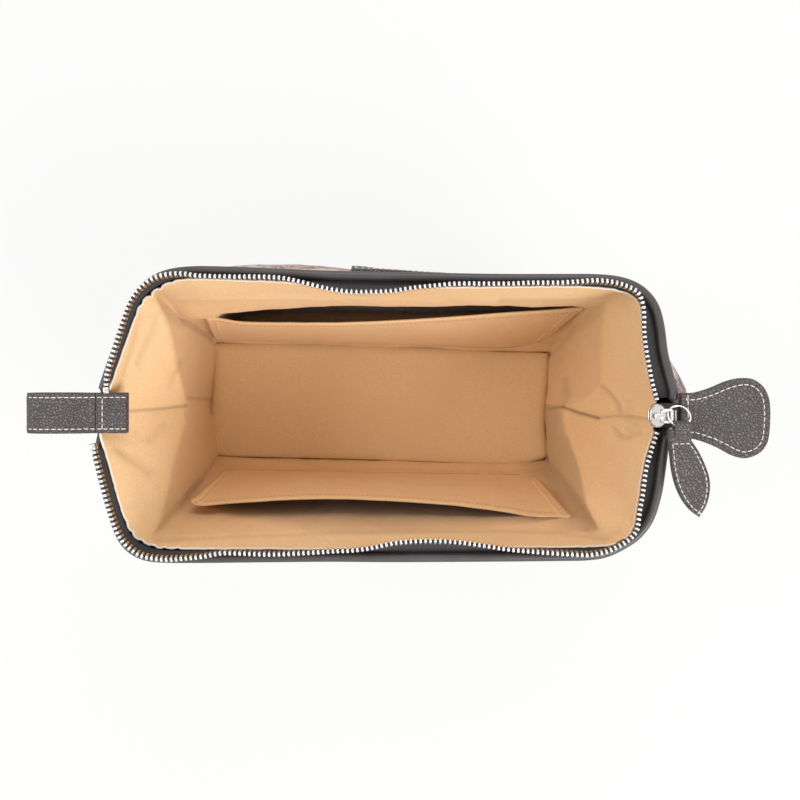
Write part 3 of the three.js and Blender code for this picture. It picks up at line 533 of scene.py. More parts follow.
WALL_FINE, RIM_FINE = 600, 500  # points of a smooth line for the walls and for the rims


def half_line(points_px, z, count):
    return smooth_curve([place(x, y, z)[:2] for x, y in points_px], count)


# Each half's lines are matched by share: the arms take the ends, the bar the middle.

COUNTS = (61, 141, 61)
COLS = sum(COUNTS) - 2
LINING_CORNERS, OUTER_CORNERS = (116, -118), (119, -121)  # x of the right corner and of the left one
SCALLOP_PITCH, SCALLOP_SPREAD = 6.4, 13.0
SCALLOP_DEPTH = {(BACK, "right"): 0.3, (BACK, "left"): 1.7, (FRONT, "right"): 0.8, (FRONT, "left"): 1.9}


def in_sections(sections):
    """One half line from its right arm, its bar and its left arm, each with its own count of points."""
    parts = [resample(section, count) for section, count in zip(sections, COUNTS)]
    return np.concatenate([parts[0], parts[1][1:], parts[2][1:]])


def by_sections(line, corners):
    """Resamples a half line so that its two corners fall on the same shares as the other lines' corners."""
    right = int(np.argmax(line[:, 0] < corners[0]))
    left = len(line) - 1 - int(np.argmax(line[::-1, 0] > corners[1]))
    return in_sections((line[: right + 1], line[right : left + 1], line[left:]))


def scallops(line, side):
    """How far the lining's edge is gathered inward: cusps round the corners and none along the bar."""
    at = walked(line)
    cusp = 1 - np.abs(np.sin(math.pi * at / SCALLOP_PITCH))
    depth = np.zeros(COLS)
    for end, column in (("right", COUNTS[0] - 1), ("left", COLS - COUNTS[2])):
        depth += SCALLOP_DEPTH[side, end] * np.exp(-(((at - at[column]) / SCALLOP_SPREAD) ** 2))
    return depth * cusp**2


def lining_top(side):
    line = by_sections(half_line(LINING_PX[side], LINING_TOP, WALL_FINE), LINING_CORNERS)
    return line + inward(line, side) * scallops(line, side)[:, None]


def outer_top(side):
    line = half_line([(675, 417), *OUTER_PX[side], (97.5, 417)], RIM_Z, WALL_FINE)
    return by_sections(line + inward(line, side) * ROLL_RADIUS, OUTER_CORNERS)


# Boxes with round corners: x of the right and the left side, half the depth, and the corners' radius

BASE_BOX = (112, 117, 54, 14)
GROOVE_BOX = (109, 115, 50, 12)
ROUND_STEPS = 14


def half_box(side, right, left, half_y, radius):
    """Half of a rounded rectangle seen from above, with the corners on the matching shares."""

    def corner(cx, start):
        turn = np.linspace(start, start + math.pi / 2, ROUND_STEPS)
        return np.stack([cx + radius * np.cos(turn), half_y - radius + radius * np.sin(turn)], axis=1)

    first, second = corner(right - radius, 0), corner(-left + radius, math.pi / 2)
    half = ROUND_STEPS // 2
    arm_r = np.concatenate([[(right, 0.0), (right, half_y - radius)], first[:half]])
    bar = np.concatenate([first[half - 1 :], second[: half + 1]])
    arm_l = np.concatenate([second[half:], [(-left, half_y - radius), (-left, 0.0)]])
    line = in_sections((arm_r, bar, arm_l))
    line[:, 1] *= side
    return line


def smooth_levels(levels, zs_wanted):
    """Rows of a surface through the given lines, curved between them in height."""
    zs = np.array([level[0] for level in levels])
    lines = np.array([level[1] for level in levels])
    slopes = np.gradient(lines, zs, axis=0)
    rows = []
    for z in zs_wanted:
        k = int(np.clip(np.searchsorted(zs, z, side="right") - 1, 0, len(zs) - 2))
        h = zs[k + 1] - zs[k]
        t = (z - zs[k]) / h
        stay, leave = (1 - t) ** 2 * (1 + 2 * t), t * (1 - t) ** 2
        come, arrive = smoothstep(t), t * t * (t - 1)
        xy = stay * lines[k] + leave * h * slopes[k] + come * lines[k + 1] + arrive * h * slopes[k + 1]
        rows.append(at_height(xy, z))
    return np.array(rows)


def between(x, low, high, fade):
    """1 inside a stretch and 0 outside it, fading over the given length inside its two ends."""
    return np.clip(np.minimum(x - low, high - x) / fade, 0, 1)


BELLY, BELLY_X = 7.8, (-139, 46)  # how far the back wall bellies out past the roll, and along where
END_BELLY = {BACK: (16.0, 6.0, 30.0), FRONT: (15.4, 0.0, 11.5)}  # how far, where and how wide, at the right end
TIP_WIDTH = 20  # the long sides' slack fades out over this width towards an end's middle


def outer_grid(side, zs):
    """The canvas: a straight foot, a slack middle and a top that follows the roll."""
    top, base = outer_top(side), half_box(side, *BASE_BOX)
    away = np.clip(np.abs(top[:, 1]) / TIP_WIDTH, 0, 1)
    out = np.column_stack([np.zeros(len(top)), side * away])
    along = np.clip((top[:, 0] - BELLY_X[0]) / (BELLY_X[1] - BELLY_X[0]), 0, 1)
    belly = out * (np.sin(math.pi * along) ** 2 * BELLY)[:, None] * (side == BACK)
    far, where, wide = END_BELLY[side]
    end = far * np.exp(-(((np.abs(top[:, 1]) - where) / wide) ** 2)) * (top[:, 0] > 0)
    end = np.column_stack([end, np.zeros(len(top))])
    middle = 0.5 * (top + base) + out
    levels = [
        (0.0, base),
        (18.0, base * 0.9 + middle * 0.1 + out),
        (66.0, middle + 0.5 * belly + 0.4 * end),
        (100.0, top * 0.78 + base * 0.22 + belly + end),
        (120.0, top * 0.95 + base * 0.05 + 0.65 * belly + 0.7 * end),
        (OUTER_TOP, top),
    ]
    return smooth_levels(levels, zs)


# Pockets: the lip and the foot of each, in pixels

POCKETS = {
    FRONT: {
        "lip": [
            (191.8, 502.2), (201.7, 505.3), (243, 502), (330, 498.4), (433, 503), (500, 510.7), (535, 517),
            (571, 518),
        ],
        "foot": [(226, 469), (330, 471), (433, 473), (534, 474)],
    },
    BACK: {
        "lip": [
            (206.3, 317), (220, 318.5), (250.7, 322.4), (330, 323), (420, 319.5), (500, 313.5), (545, 310.5),
            (583.5, 307.4),
        ],
        "foot": [(216, 340), (330, 343), (433, 346), (500, 348), (541, 343)],
    },
}
POCKET_LIP_Z = 78.0
POCKET_FOOT_Z = {FRONT: 18.0, BACK: 10.0}
POCKET_ROWS, POCKET_COLS = 30, 141
HEM_SHARE = 0.93  # the hem's fold is a ridge above this share of the height


# The lining's folds: each column climbs a steep wall to its ridge and leans out from there to the mouth's edge.
# A station is (share along the arm from the tip to the corner, ridge x, ridge height).

RIDGES = {
    (BACK, "left"): [(0.0, -113.4, 68.0), (0.5, -112.6, 96.0), (0.85, -113.4, 120.0), (1.0, -115.0, 128.0)],
    (FRONT, "left"): [
        (0.0, -113.4, 68.0), (0.33, -115.8, 80.0), (0.5, -116.9, 90.0), (0.75, -116.7, 105.0),
        (1.0, -117.5, 122.0),
    ],
    (FRONT, "right"): [(0.0, 110.5, 31.0), (0.4, 111.8, 34.0), (0.7, 112.7, 60.0), (1.0, 106.5, 108.0)],
    (BACK, "right"): [
        (0.0, 110.5, 31.0), (0.13, 116.0, 62.0), (0.28, 121.0, 80.0), (0.65, 118.9, 88.0), (1.0, 115.0, 106.0),
    ],
}
# Floor: x of the tip and of the corner, then the corner's y, at each end.
FLOOR = {
    (BACK, "left"): (-112.5, -108.0, 40.0),
    (FRONT, "left"): (-112.5, -106.0, -34.5),
    (FRONT, "right"): (104.6, 104.8, -36.5),
    (BACK, "right"): (104.6, 106.6, 33.5),
}
FLOOR_BEND_X, FLOOR_BEND_Y = 78.0, {BACK: 34.3, FRONT: -39.4}
# Bar walls: how far out from the floor at each height.
BAR_WALL = {
    BACK: [
        (6.4, 0.0), (11.0, 4.0), (26.0, 8.5), (44.0, 13.0), (80.0, 20.0), (87.0, 21.5), (100.0, 21.5),
        (111.0, 22.3),
    ],
    FRONT: [(6.4, 0.0), (11.0, 4.0), (26.0, 8.5), (44.0, 16.0), (78.0, 23.0), (100.0, 24.8), (113.0, 25.5)],
}
BAR_FLOOR_Y = {BACK: 36.0, FRONT: -37.0}
# How far a wall stands back behind its pocket, and up to which height.
POCKET_ROOM = {BACK: (6.0, 85.0), FRONT: (1.5, 78.0)}
ROOM_X, SHADE_X = (-96.0, 122.0), (-96.0, 106.5)
# Over the back pocket the wall hangs forward, ever more towards the pocket's left end.
HANG_X = (-103.0, -93.0, -63.0, -31.0, 107.0)
HANG = (6.0, 5.1, 2.3, 0.0, 0.0)
HANG_HEIGHTS = (60.0, 80.0, 87.0, 104.0)
WALL_HEIGHTS = np.array(
    [2.4, 6.4, 11, 18, 26, 38, 50, 62, 72, 76, 80, 83, 87, 93, 100, 106, 112, 118, 124, 131.5]
)
CORNER_BLEND = 16  # columns over which an end's folds pass into the bar's
TUCK = (0.985, 0.97)  # the lining's foot is tucked in under the cushion by these shares in x and y
FOLD_Z, FOLD_OUT = (11.0, 26.0), (0.12, 0.3)  # an end's wall has gone this share of the way to its ridge there
RIDGE_LOWEST = 29.0
BAR_SHARE = 0.93  # of the mouth's x that the floor's x is, along a long side
FLOOR_ENDS_X = (-106.0, 105.0)
BAR_EASE, BAR_LEAN = 44, 60  # heights over which the floor's bend and the slant along x fade out
ROOM_START, ROOM_RISE = 24, 18  # from which height a pocket has room, and over how much it comes in
ROOM_CLOSE, ROOM_FADE = 4, 14  # and how it fades at the top and at the sides


def ridge_at(side, end, share):
    """Where an end's fold is at a share of its arm: x and height."""
    shares, xs, heights = np.array(RIDGES[side, end]).T
    return np.interp(share, shares, xs), np.interp(share, shares, heights)


def arm_profile(side, end, top, share):
    """Points of one column of an end, at the wall heights."""
    ridge_x, ridge_z = ridge_at(side, end, share)
    tip_x, corner_x, corner_y = FLOOR[side, end]
    floor = np.array([tip_x * (1 - share) + corner_x * share, corner_y * share])
    lean = (ridge_z - CUSHION_TOP) / (LINING_TOP - CUSHION_TOP)
    ridge = np.array([ridge_x, floor[1] * (1 - lean) + top[1] * lean])
    z = [LINING_FOOT, CUSHION_TOP, *FOLD_Z, max(ridge_z, RIDGE_LOWEST), LINING_TOP]
    foot, low = [floor + (ridge - floor) * part for part in FOLD_OUT]
    points = np.array([floor * TUCK, floor, foot, low, ridge, top])
    return np.stack([np.interp(WALL_HEIGHTS, z, points[:, k]) for k in range(2)], axis=1)


def bar_profile(side, top):
    """Points of one column of a long side, at the wall heights."""
    marks = np.array(BAR_WALL[side])
    floor_x = top[0] * BAR_SHARE
    middle = BAR_FLOOR_Y[side]
    floor_ys = [FLOOR[side, "left"][2], FLOOR_BEND_Y[side], FLOOR[side, "right"][2]]
    floor_y = np.interp(floor_x, [FLOOR_ENDS_X[0], FLOOR_BEND_X, FLOOR_ENDS_X[1]], floor_ys)
    target = side * (abs(middle) + marks[:, 1])
    ease = np.clip((marks[:, 0] - CUSHION_TOP) / BAR_EASE, 0, 1)
    y = np.append(floor_y + (target - middle) - (floor_y - middle) * ease, top[1])
    z = np.append(marks[:, 0], LINING_TOP)
    x = floor_x + (top[0] - floor_x) * np.clip((WALL_HEIGHTS - CUSHION_TOP) / BAR_LEAN, 0, 1)
    out = np.interp(WALL_HEIGHTS, z, y)
    room, high = POCKET_ROOM[side]
    deep = np.clip((WALL_HEIGHTS - ROOM_START) / ROOM_RISE, 0, 1)
    deep = deep * np.clip((high - WALL_HEIGHTS) / ROOM_CLOSE, 0, 1)
    out = out + side * room * between(x, *ROOM_X, ROOM_FADE) * deep
    if side == BACK:
        out -= np.interp(x, HANG_X, HANG) * np.interp(WALL_HEIGHTS, HANG_HEIGHTS, (0, 1, 1, 0))
    out[0] = floor_y * TUCK[1]
    return np.stack([x, out], axis=1)


def from_tip(end):
    """How many columns each column is from an end's tip."""
    return np.arange(COLS) if end == "right" else np.arange(COLS)[::-1]


def lining_grid(side, zs):
    columns = []
    for c, point in enumerate(lining_top(side)):
        end = "right" if c < COLS / 2 else "left"
        arm_count = COUNTS[0] if end == "right" else COUNTS[2]
        tip = from_tip(end)[c]
        to_bar = smoothstep(np.clip((tip - (arm_count - 1) + CORNER_BLEND / 2) / CORNER_BLEND, 0, 1))
        arm = arm_profile(side, end, point, min(1.0, tip / (arm_count - 1)))
        columns.append(arm * (1 - to_bar) + bar_profile(side, point) * to_bar)
    rows = []
    for z in zs:
        xy = [[np.interp(z, WALL_HEIGHTS, column[:, k]) for column in columns] for k in range(2)]
        rows.append(np.column_stack([*xy, np.full(COLS, z)]))
    return softened(np.array(rows))


def softened(grid):
    """Each row and column averaged a little with its neighbours, so that folds are round. Borders stay."""
    grid[1:-1, :, :2] = 0.25 * grid[:-2, :, :2] + 0.5 * grid[1:-1, :, :2] + 0.25 * grid[2:, :, :2]
    grid[:, 1:-1, :2] = 0.25 * grid[:, :-2, :2] + 0.5 * grid[:, 1:-1, :2] + 0.25 * grid[:, 2:, :2]
    return grid


# Creases of the lining: pixels of their line, then width in pixels, depth in millimetres and how dark the shade
# painted along it is.
CREASES = [
    ([(128.8, 411.3), (160, 409), (186.4, 406)], 1.6, 0.6, 0.4),
    ([(120.6, 448.7), (151, 470)], 6.0, 1.2, 0.07),
    ([(166, 424), (151, 438)], 5.0, 1.0, 0.08),
    ([(140.5, 316), (134.4, 344), (120.6, 390)], 4.0, 0.9, 0.1),
    ([(159, 316), (157, 331.5), (140.5, 362)], 5.0, 1.0, 0.07),
    ([(181.8, 362), (172.7, 385)], 4.0, 0.8, 0.08),
    ([(549, 409), (562.5, 407)], 1.3, 0.5, 0.3),
    ([(188, 397.5), (211, 399), (211.5, 414)], 1.5, 0.6, 0.26),
    ([(562.5, 407), (580, 413.5), (597, 418)], 1.7, 1.2, 0.6),
    ([(597, 418), (618.8, 416), (650, 419)], 1.3, 0.5, 0.28),
    ([(601.8, 387), (612.5, 398), (621, 412)], 2.6, 0.9, 0.22),
    ([(612, 429), (619, 436), (628, 436.5)], 2.6, 1.6, 0.14),
    ([(625, 430), (632, 434), (640, 433)], 2.6, 1.2, 0.1),
    ([(564, 380), (566, 394), (561.6, 405)], 4.0, 0.9, 0.16),
    ([(627, 404), (633, 425)], 5.0, 0.9, 0.06),
    ([(621, 293), (600, 299.6), (568, 302), (500, 302)], 3.0, 0.6, 0.14),
    (
        [(155.8, 540.5), (227.8, 536), (330, 532), (500, 530), (562.5, 532), (589, 535.7), (607, 537.5)],
        2.4, 0.5, 0.12,
    ),
    ([(160, 292), (168, 312), (181, 322)], 5.0, 1.0, 0.1),
    ([(586, 528), (604, 536), (617, 531)], 5.0, 0.8, 0.1),
]
# Painted shade on the steep lower part of an end's fold, which sees less of the light.
PAINTED_SHADE_UNDER_FOLD = {(BACK, "left"): 0.14, (FRONT, "left"): 0.1, (FRONT, "right"): 0.34, (BACK, "right"): 0.12}
PAINTED_SHADE_BEHIND_POCKET = {BACK: 0.88, FRONT: 0.85}  # how dark the shade painted on the wall behind each pocket is
FRONT_SHADE_REACH = 36.0  # pixels out from the front pocket's lip over which its painted shadow on the wall fades
CREASE_SEAM, CREASE_SEWN = 5, 6  # creases fade out over these columns at a seam and this height under the edge
FOLD_FADE = 6  # the height over which the painted shade under a fold comes in
SHADE_START, SHADE_RISE = 40, 10  # the height over which the painted shade behind a pocket comes in
BACK_SHADE_FADE = (5, 3)  # along and up


def distance_to(points, line):
    """From each point to a polyline, both in pixels."""
    best = np.full(points.shape[:-1], 1e9)
    for a, b in zip(np.array(line[:-1], float), np.array(line[1:], float)):
        ab = b - a
        t = np.clip(((points - a) @ ab) / (ab @ ab), 0, 1)
        best = np.minimum(best, np.linalg.norm(points - a - t[..., None] * ab, axis=-1))
    return best


def creased(grid, side):
    """The lining with its creases pressed in, and how much shade is painted on it at each point."""
    pixels = np.stack(pixel(np.moveaxis(grid, -1, 0)), axis=-1)
    rows, cols = grid.shape[:2]
    seam = between(np.arange(cols), 0, cols - 1, CREASE_SEAM)[None, :]
    sewn = np.clip((LINING_TOP - grid[..., 2]) / CREASE_SEWN, 0, 1)
    dark, depth = np.zeros((rows, cols)), np.zeros((rows, cols))
    for line, width, deep, shade in CREASES:
        near = np.exp(-((distance_to(pixels, line) / width) ** 2))
        dark = 1 - (1 - dark) * (1 - shade * near)
        depth += deep * near
    pressed = grid + normals_of(grid, side) * (depth * seam * sewn)[..., None]
    return pressed, 1 - (1 - dark) * (1 - painted_shade_of_folds(grid, side))


def painted_shade_of_folds(grid, side):
    """How much shade is painted on the lining under the folds of the ends and behind the pocket."""
    z = grid[..., 2]
    dark = np.zeros(z.shape)
    on_bar = np.full(COLS, True)
    for end, arm_count in (("right", COUNTS[0]), ("left", COUNTS[2])):
        tip = from_tip(end)
        ridge_z = ridge_at(side, end, np.minimum(1, tip / (arm_count - 1)))[1]
        on_arm = np.clip((CORNER_BLEND + arm_count - tip) / CORNER_BLEND, 0, 1)
        dark += PAINTED_SHADE_UNDER_FOLD[side, end] * on_arm * np.clip((ridge_z - z) / FOLD_FADE + 0.5, 0, 1)
        on_bar &= tip >= arm_count - 1
    behind = painted_shade_behind_lip(grid) if side == BACK else painted_shade_beside_lip(grid)
    behind = behind * np.clip((z - SHADE_START) / SHADE_RISE, 0, 1) * on_bar
    return np.maximum(dark, PAINTED_SHADE_BEHIND_POCKET[side] * behind)


def painted_shade_behind_lip(grid):
    """Shade is painted on the back wall wherever it's lower than the pocket's lip, up to the pocket's two ends.
    """
    top, (along, up) = POCKET_ROOM[BACK][1] - 1, BACK_SHADE_FADE
    return np.clip((top - grid[..., 2]) / up, 0, 1) * between(grid[..., 0], *SHADE_X, along)


def painted_shade_beside_lip(grid):
    """Shade is painted on the front wall beside the pocket's lip, lighter towards the mouth's edge."""
    px, py = pixel(np.moveaxis(grid, -1, 0))
    lip = np.array(POCKETS[FRONT]["lip"])
    start, end = lip[1, 0], lip[-1, 0] - 6
    off = py - np.interp(px, lip[:, 0], lip[:, 1])
    share = np.clip((px - start) / (end - start), 0, 1)
    reach = 0.5 + FRONT_SHADE_REACH * np.sin(np.pi * share**0.85) ** 1.1
    ends = np.clip((px - start) / 4, 0, 1) * np.clip((end - px) / 8, 0, 1)
    return np.clip(1 - off / reach, 0, 1) * np.clip((off + 5) / 4, 0, 1) * ends


def normals_of(grid, side):
    along_rows = np.gradient(grid, axis=0)
    along_columns = np.gradient(grid, axis=1)
    return unit(np.cross(along_columns, along_rows)) * side


WRINKLE_SCALE = (0.022, 0.022, 0.016)
WRINKLES = ((1.6, 1.0), (0.7, 2.7), (0.28, 7.0))
SEWN_DEPTH, SEAM_COLUMNS = 16, 8  # wrinkles fade out over these towards the mouth's edge and the halves' seams


def wrinkled(grid, side, amount):
    """Cloth is never quite flat: long soft waves and finer ones, fading out at its sewn edges and seams."""
    rows, cols = grid.shape[:2]
    normal = normals_of(grid, side)
    out = grid.copy()
    for r in range(rows):
        for c in range(cols):
            p = Vector(grid[r, c])
            wave = ripple([a * s for a, s in zip(p, WRINKLE_SCALE)], *WRINKLES)
            sewn = min(1.0, (LINING_TOP - p.z) / SEWN_DEPTH)
            seam = min(1.0, min(c, cols - 1 - c) / SEAM_COLUMNS)
            out[r, c] = grid[r, c] + normal[r, c] * wave * sewn * seam * amount
    return out


LOW_ROWS, HIGH_ROWS = 64, 44
CANVAS_THICK, LINING_THICK = 1.2, 0.8
CANVAS_SLACK, LINING_SLACK = 0.8, 0.9
CANVAS_GRID = {}  # each half's canvas once it's made, for the gussets and the patches


def strip_heights(foot, top):
    return np.concatenate([np.linspace(foot, LOW_TOP, LOW_ROWS), np.linspace(LOW_TOP, top, HIGH_ROWS)[1:]])


def strips(side, kind, grid, look, thickness, nodes, dark=None):
    """A wall or lining half in a lower and an upper strip that share their border and the shading across it."""
    name, end = SIDE_NAMES[side], END_OF[side]
    normal = normals_of(grid, side)
    cut = LOW_ROWS - 1
    for part, rows, a, b, low, high in (
        ("lower", slice(0, cut + 1), "bag_body", "mouth_ends", 0.0, LOW_TOP),
        ("upper", slice(cut, len(grid)), "mouth_ends", f"{name}_frame", LOW_TOP, LINING_TOP),
    ):
        verts, faces = sheet_mesh(grid[rows], thickness, normal[rows])
        if side == BACK:
            faces = [f[::-1] for f in faces]
        obj = make(f"{name}_{kind}_{part}", (verts, faces), look, None)
        flat = normal[rows].reshape(-1, 3)
        obj.data.normals_split_custom_set_from_vertices(np.concatenate([-flat, flat]).tolist())
        # The lining's painted shade is stored as a point attribute named dark.
        if dark is not None:
            shade = obj.data.attributes.new("dark", "FLOAT", "POINT")
            shade.data.foreach_set("value", np.tile(dark[rows].ravel(), 2).astype(np.float32))
        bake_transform(obj)
        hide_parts(f"{nodes}_{name}_{part}", f"{nodes}_{end}_{part}")


def canvas_y(side, x, z):
    """How far out the canvas stands at a place of a long side."""
    grid = CANVAS_GRID[side]
    bar = grid[:, COUNTS[0] : COUNTS[0] + COUNTS[1]]
    ys = [np.interp(-x, -row[:, 0], row[:, 1]) for row in bar]
    return np.interp(z, grid[:, 0, 2], ys)


def add_walls(side):
    outer = wrinkled(outer_grid(side, strip_heights(OUTER_FOOT, OUTER_TOP)), side, CANVAS_SLACK)
    CANVAS_GRID[side] = outer
    lining = wrinkled(lining_grid(side, strip_heights(LINING_FOOT, LINING_TOP)), side, LINING_SLACK)
    lining, dark = creased(lining, side)
    strips(side, "canvas", outer, CANVAS, CANVAS_THICK, "outer")
    strips(side, "lining", lining, LINING, LINING_THICK, "lining", dark)


GUSSET_Z = (79.0, 124.0)
GUSSET_REACH = 34.0  # how far it goes to either side of an end's middle
GUSSET_INSIDE, GUSSET_THICK = 0.9, 0.5  # from the canvas, inward


def add_gusset(end):
    """The tuck of canvas inside an end: it closes the end when the two halves part to shut the mouth."""
    inside = -GUSSET_INSIDE if end == "right" else GUSSET_INSIDE
    halves = []
    for side in (FRONT, BACK):
        grid = CANVAS_GRID[side] if end == "right" else CANVAS_GRID[side][:, ::-1]
        rows = (grid[:, 0, 2] >= GUSSET_Z[0]) & (grid[:, 0, 2] <= GUSSET_Z[1])
        near = np.abs(grid[0, :, 1]) <= GUSSET_REACH
        near[int(np.argmin(near)) :] = False
        halves.append(grid[rows][:, near] + [inside, 0, 0])
    sheet = np.concatenate([halves[0][:, ::-1], halves[1][:, 1:]], axis=1)
    shape = sheet_mesh(sheet, GUSSET_THICK, normals_of(sheet, BACK))
    make(f"{end}_gusset_canvas", shape, CANVAS, "mouth_ends")


for side in (FRONT, BACK):
    add_walls(side)
for end in ("right", "left"):
    add_gusset(end)


# Floor of the bag

FLOOR_PX = [
    (217.6, 343.2), (330, 343.8), (430, 347.5), (500, 351.5), (545, 352.9), (549, 357), (547, 390),
    (545, 425), (547.5, 452), (545, 458), (525, 463), (500, 464.5), (421, 461.5), (330, 458.6), (224, 456),
    (211, 450), (208, 440), (209, 415), (212, 390), (214, 352),
]
FLOOR_Z, CUSHION_DEPTH = 6.5, 2.0
CUSHION_SCALE, CUSHION_WAVES = 0.02, ((0.7, 1.0), (0.2, 4.0))
CUSHION_EDGE, CUSHION_RISE = 2.2, 1.4  # how far in its edge is rolled down, and how high it stands inside that
FLOOR_POINTS, FLOOR_RINGS = 240, 44


def closed_plate(outline, top, bottom, rings=3):
    """Rings of a flat plate, from the middle of its underside round its edge to the middle of its top."""
    inner = [np.asarray(outline) * s for s in np.linspace(1, 0.02, rings)]
    under = [np.asarray(outline) * s for s in np.linspace(1, 0.02, 3)]
    levels = [(flat, bottom) for flat in under[::-1]] + [(flat, top) for flat in inner]
    return np.array([at_height(flat, z) for flat, z in levels])


def add_cushion():
    """The floor: lining over a board, its edge rolled down into the groove by the walls."""
    outline = smooth_curve([place(x, y, FLOOR_Z)[:2] for x, y in FLOOR_PX], FLOOR_POINTS, closed=True)[:-1]
    grid = closed_plate(outline, FLOOR_Z, FLOOR_Z - CUSHION_DEPTH, FLOOR_RINGS)
    for p in grid[3:].reshape(-1, 3):
        edge = np.min(np.linalg.norm(outline - p[:2], axis=1))
        soft = 1 - math.exp(-edge / CUSHION_EDGE)
        rise = ripple((p[0] * CUSHION_SCALE, p[1] * CUSHION_SCALE, 4.0), *CUSHION_WAVES, base=CUSHION_RISE)
        p[2] += soft * rise - (1 - soft)
    make("floor_lining", lofted(grid, flip=True), LINING, "bag_body", ["base_lining"])


def add_plate(name, box, bottom, top, look, nodes=()):
    outline = np.concatenate([half_box(BACK, *box), half_box(FRONT, *box)[::-1][1:-1]])
    make(name, lofted(closed_plate(outline, top, bottom), flip=True), look, "bag_body", nodes)


add_cushion()
add_plate("base_canvas", BASE_BOX, 0.0, 1.5, CANVAS, ["base_panel"])
add_plate("groove_lining", GROOVE_BOX, 2.5, 3.0, LINING)


# Rims

WIRE_RADIUS, PIPING_RADIUS, PIPING_LIFT = 0.9, 0.6, 0.5
PUCKER, PUCKER_SCALE = 0.3, 0.35  # the piping isn't quite even
ROLL_STATIONS, ROLL_END = 200, 2.2  # the roll's end is rounded over this length
TIP_STATIONS = 6  # of the piping's line at each end, where the gusset closes


def add_rim(side):
    name = SIDE_NAMES[side]
    line = half_line(OUTER_PX[side], RIM_Z, RIM_FINE)
    centre = resample(line + inward(line, side) * ROLL_RADIUS, ROLL_STATIONS)
    line = at_height(centre, RIM_Z)
    share = np.linspace(0, 1, len(line))
    from_end = np.minimum(share, 1 - share) * length_of(line)
    radius = ROLL_RADIUS * np.sqrt(np.clip(1 - (1 - np.clip(from_end / ROLL_END, 0, 1)) ** 2, 0.02, 1))
    make(f"{name}_roll", tube_mesh(line, radius, 20), SMOOTH, f"{name}_frame", [f"{name}_rim"])
    wire = tube_mesh(line[3:-3], WIRE_RADIUS, 8)
    make(f"{name}_spring_wire", wire, METAL, f"{name}_frame", [f"{name}_wire"])


def add_piping(side):
    name = SIDE_NAMES[side]
    inner = at_height(lining_top(side), LINING_TOP + PIPING_LIFT)[TIP_STATIONS:-TIP_STATIONS]
    pucker = np.array([ripple((p[0] * PUCKER_SCALE, p[1] * PUCKER_SCALE, side), (PUCKER, 1.0)) for p in inner])
    inner[:, :2] += inward(inner[:, :2], side) * pucker[:, None]
    cord = tube_mesh(inner, PIPING_RADIUS, 8)
    make(f"{name}_piping_cord", cord, PIPING, f"{name}_frame", [f"{name}_piping"])


CHAIN_POINTS, CHAIN_Z = 400, 140.0
# The tooth row's height at shares of its length, from the right end to the left.
CHAIN_SHARES = (0.0, 0.05, 0.16, 0.3, 0.5, 0.7, 0.86, 1.0)
CHAIN_HEIGHTS = (136.6, 138.0, 140.5, 140.2, 140.0, 140.2, 140.8, 141.2)


def chain_line(side):
    """The tooth row: its pixels are placed at the middle height first, and then each at its own height."""
    rough = half_line(CHAIN_PX[side], CHAIN_Z, CHAIN_POINTS)
    heights = np.interp(np.linspace(0, 1, CHAIN_POINTS), CHAIN_SHARES, CHAIN_HEIGHTS)
    return np.array([place(*pixel((p[0], p[1], CHAIN_Z)), h) for p, h in zip(rough, heights)])


def nearest_on(line, chain, wide):
    """The nearest place on a line for each point of the chain, evened out along it."""
    near = np.array([line[int(np.argmin(np.linalg.norm(line - p[:2], axis=1)))] for p in chain])
    kernel = np.ones(2 * wide + 1) / (2 * wide + 1)
    padded = np.pad(near, ((wide, wide), (0, 0)), mode="edge")
    return np.stack([np.convolve(padded[:, k], kernel, "valid") for k in range(2)], axis=1)


TAPE_FROM_PIPING = 0.7  # clear of the cord, on its outer side
TAPE_THICK, BEAD_RADIUS = 0.7, 0.85
TAPE_EDGE, BEAD_DEPTH = 1.2, 0.7  # below the tooth row's line
TAPE_ROOT = 1.3  # of the roll's radius in from the mouth's edge
UNDER_ROLL, UNDER_LINING = 1.2, 0.6  # how far below the roll's middle and the lining's edge it passes


def tape_profile(side, chain):
    """The tape comes out from under the roll, runs in to the piping and climbs from there to its teeth."""
    outer = half_line(OUTER_PX[side], RIM_Z, RIM_FINE)
    roll = nearest_on(outer + inward(outer, side) * ROLL_RADIUS * TAPE_ROOT, chain, 7)
    piping = nearest_on(half_line(LINING_PX[side], LINING_TOP, RIM_FINE), chain, 3)
    seam = piping - inward(piping, side) * TAPE_FROM_PIPING
    return at_height(roll, RIM_Z - UNDER_ROLL), at_height(seam, LINING_TOP - UNDER_LINING)


TOOTH_PITCH, TOOTH_WIDE, TOOTH_THICK = 2.4, 1.45, 2.7
TOOTH_STEPS, TOOTH_SQUARE, TOOTH_JITTER = 12, 0.42, 0.03
TOOTH_ROWS = [  # height, and the share of the full width and thickness there
    (-2.0, 0.78, 0.62), (-1.9, 0.9, 0.86), (-1.2, 0.95, 1.0), (-0.2, 1.0, 1.0), (0.5, 1.0, 0.96),
    (1.1, 0.9, 0.86), (1.5, 0.72, 0.66), (1.7, 0.4, 0.36),
]
STOP_SIZE = (2.4, 1.05, 1.2)  # times a tooth
STOP_FROM_END = 1.6


def rounded_power(value, power):
    return math.copysign(abs(value) ** power, value)


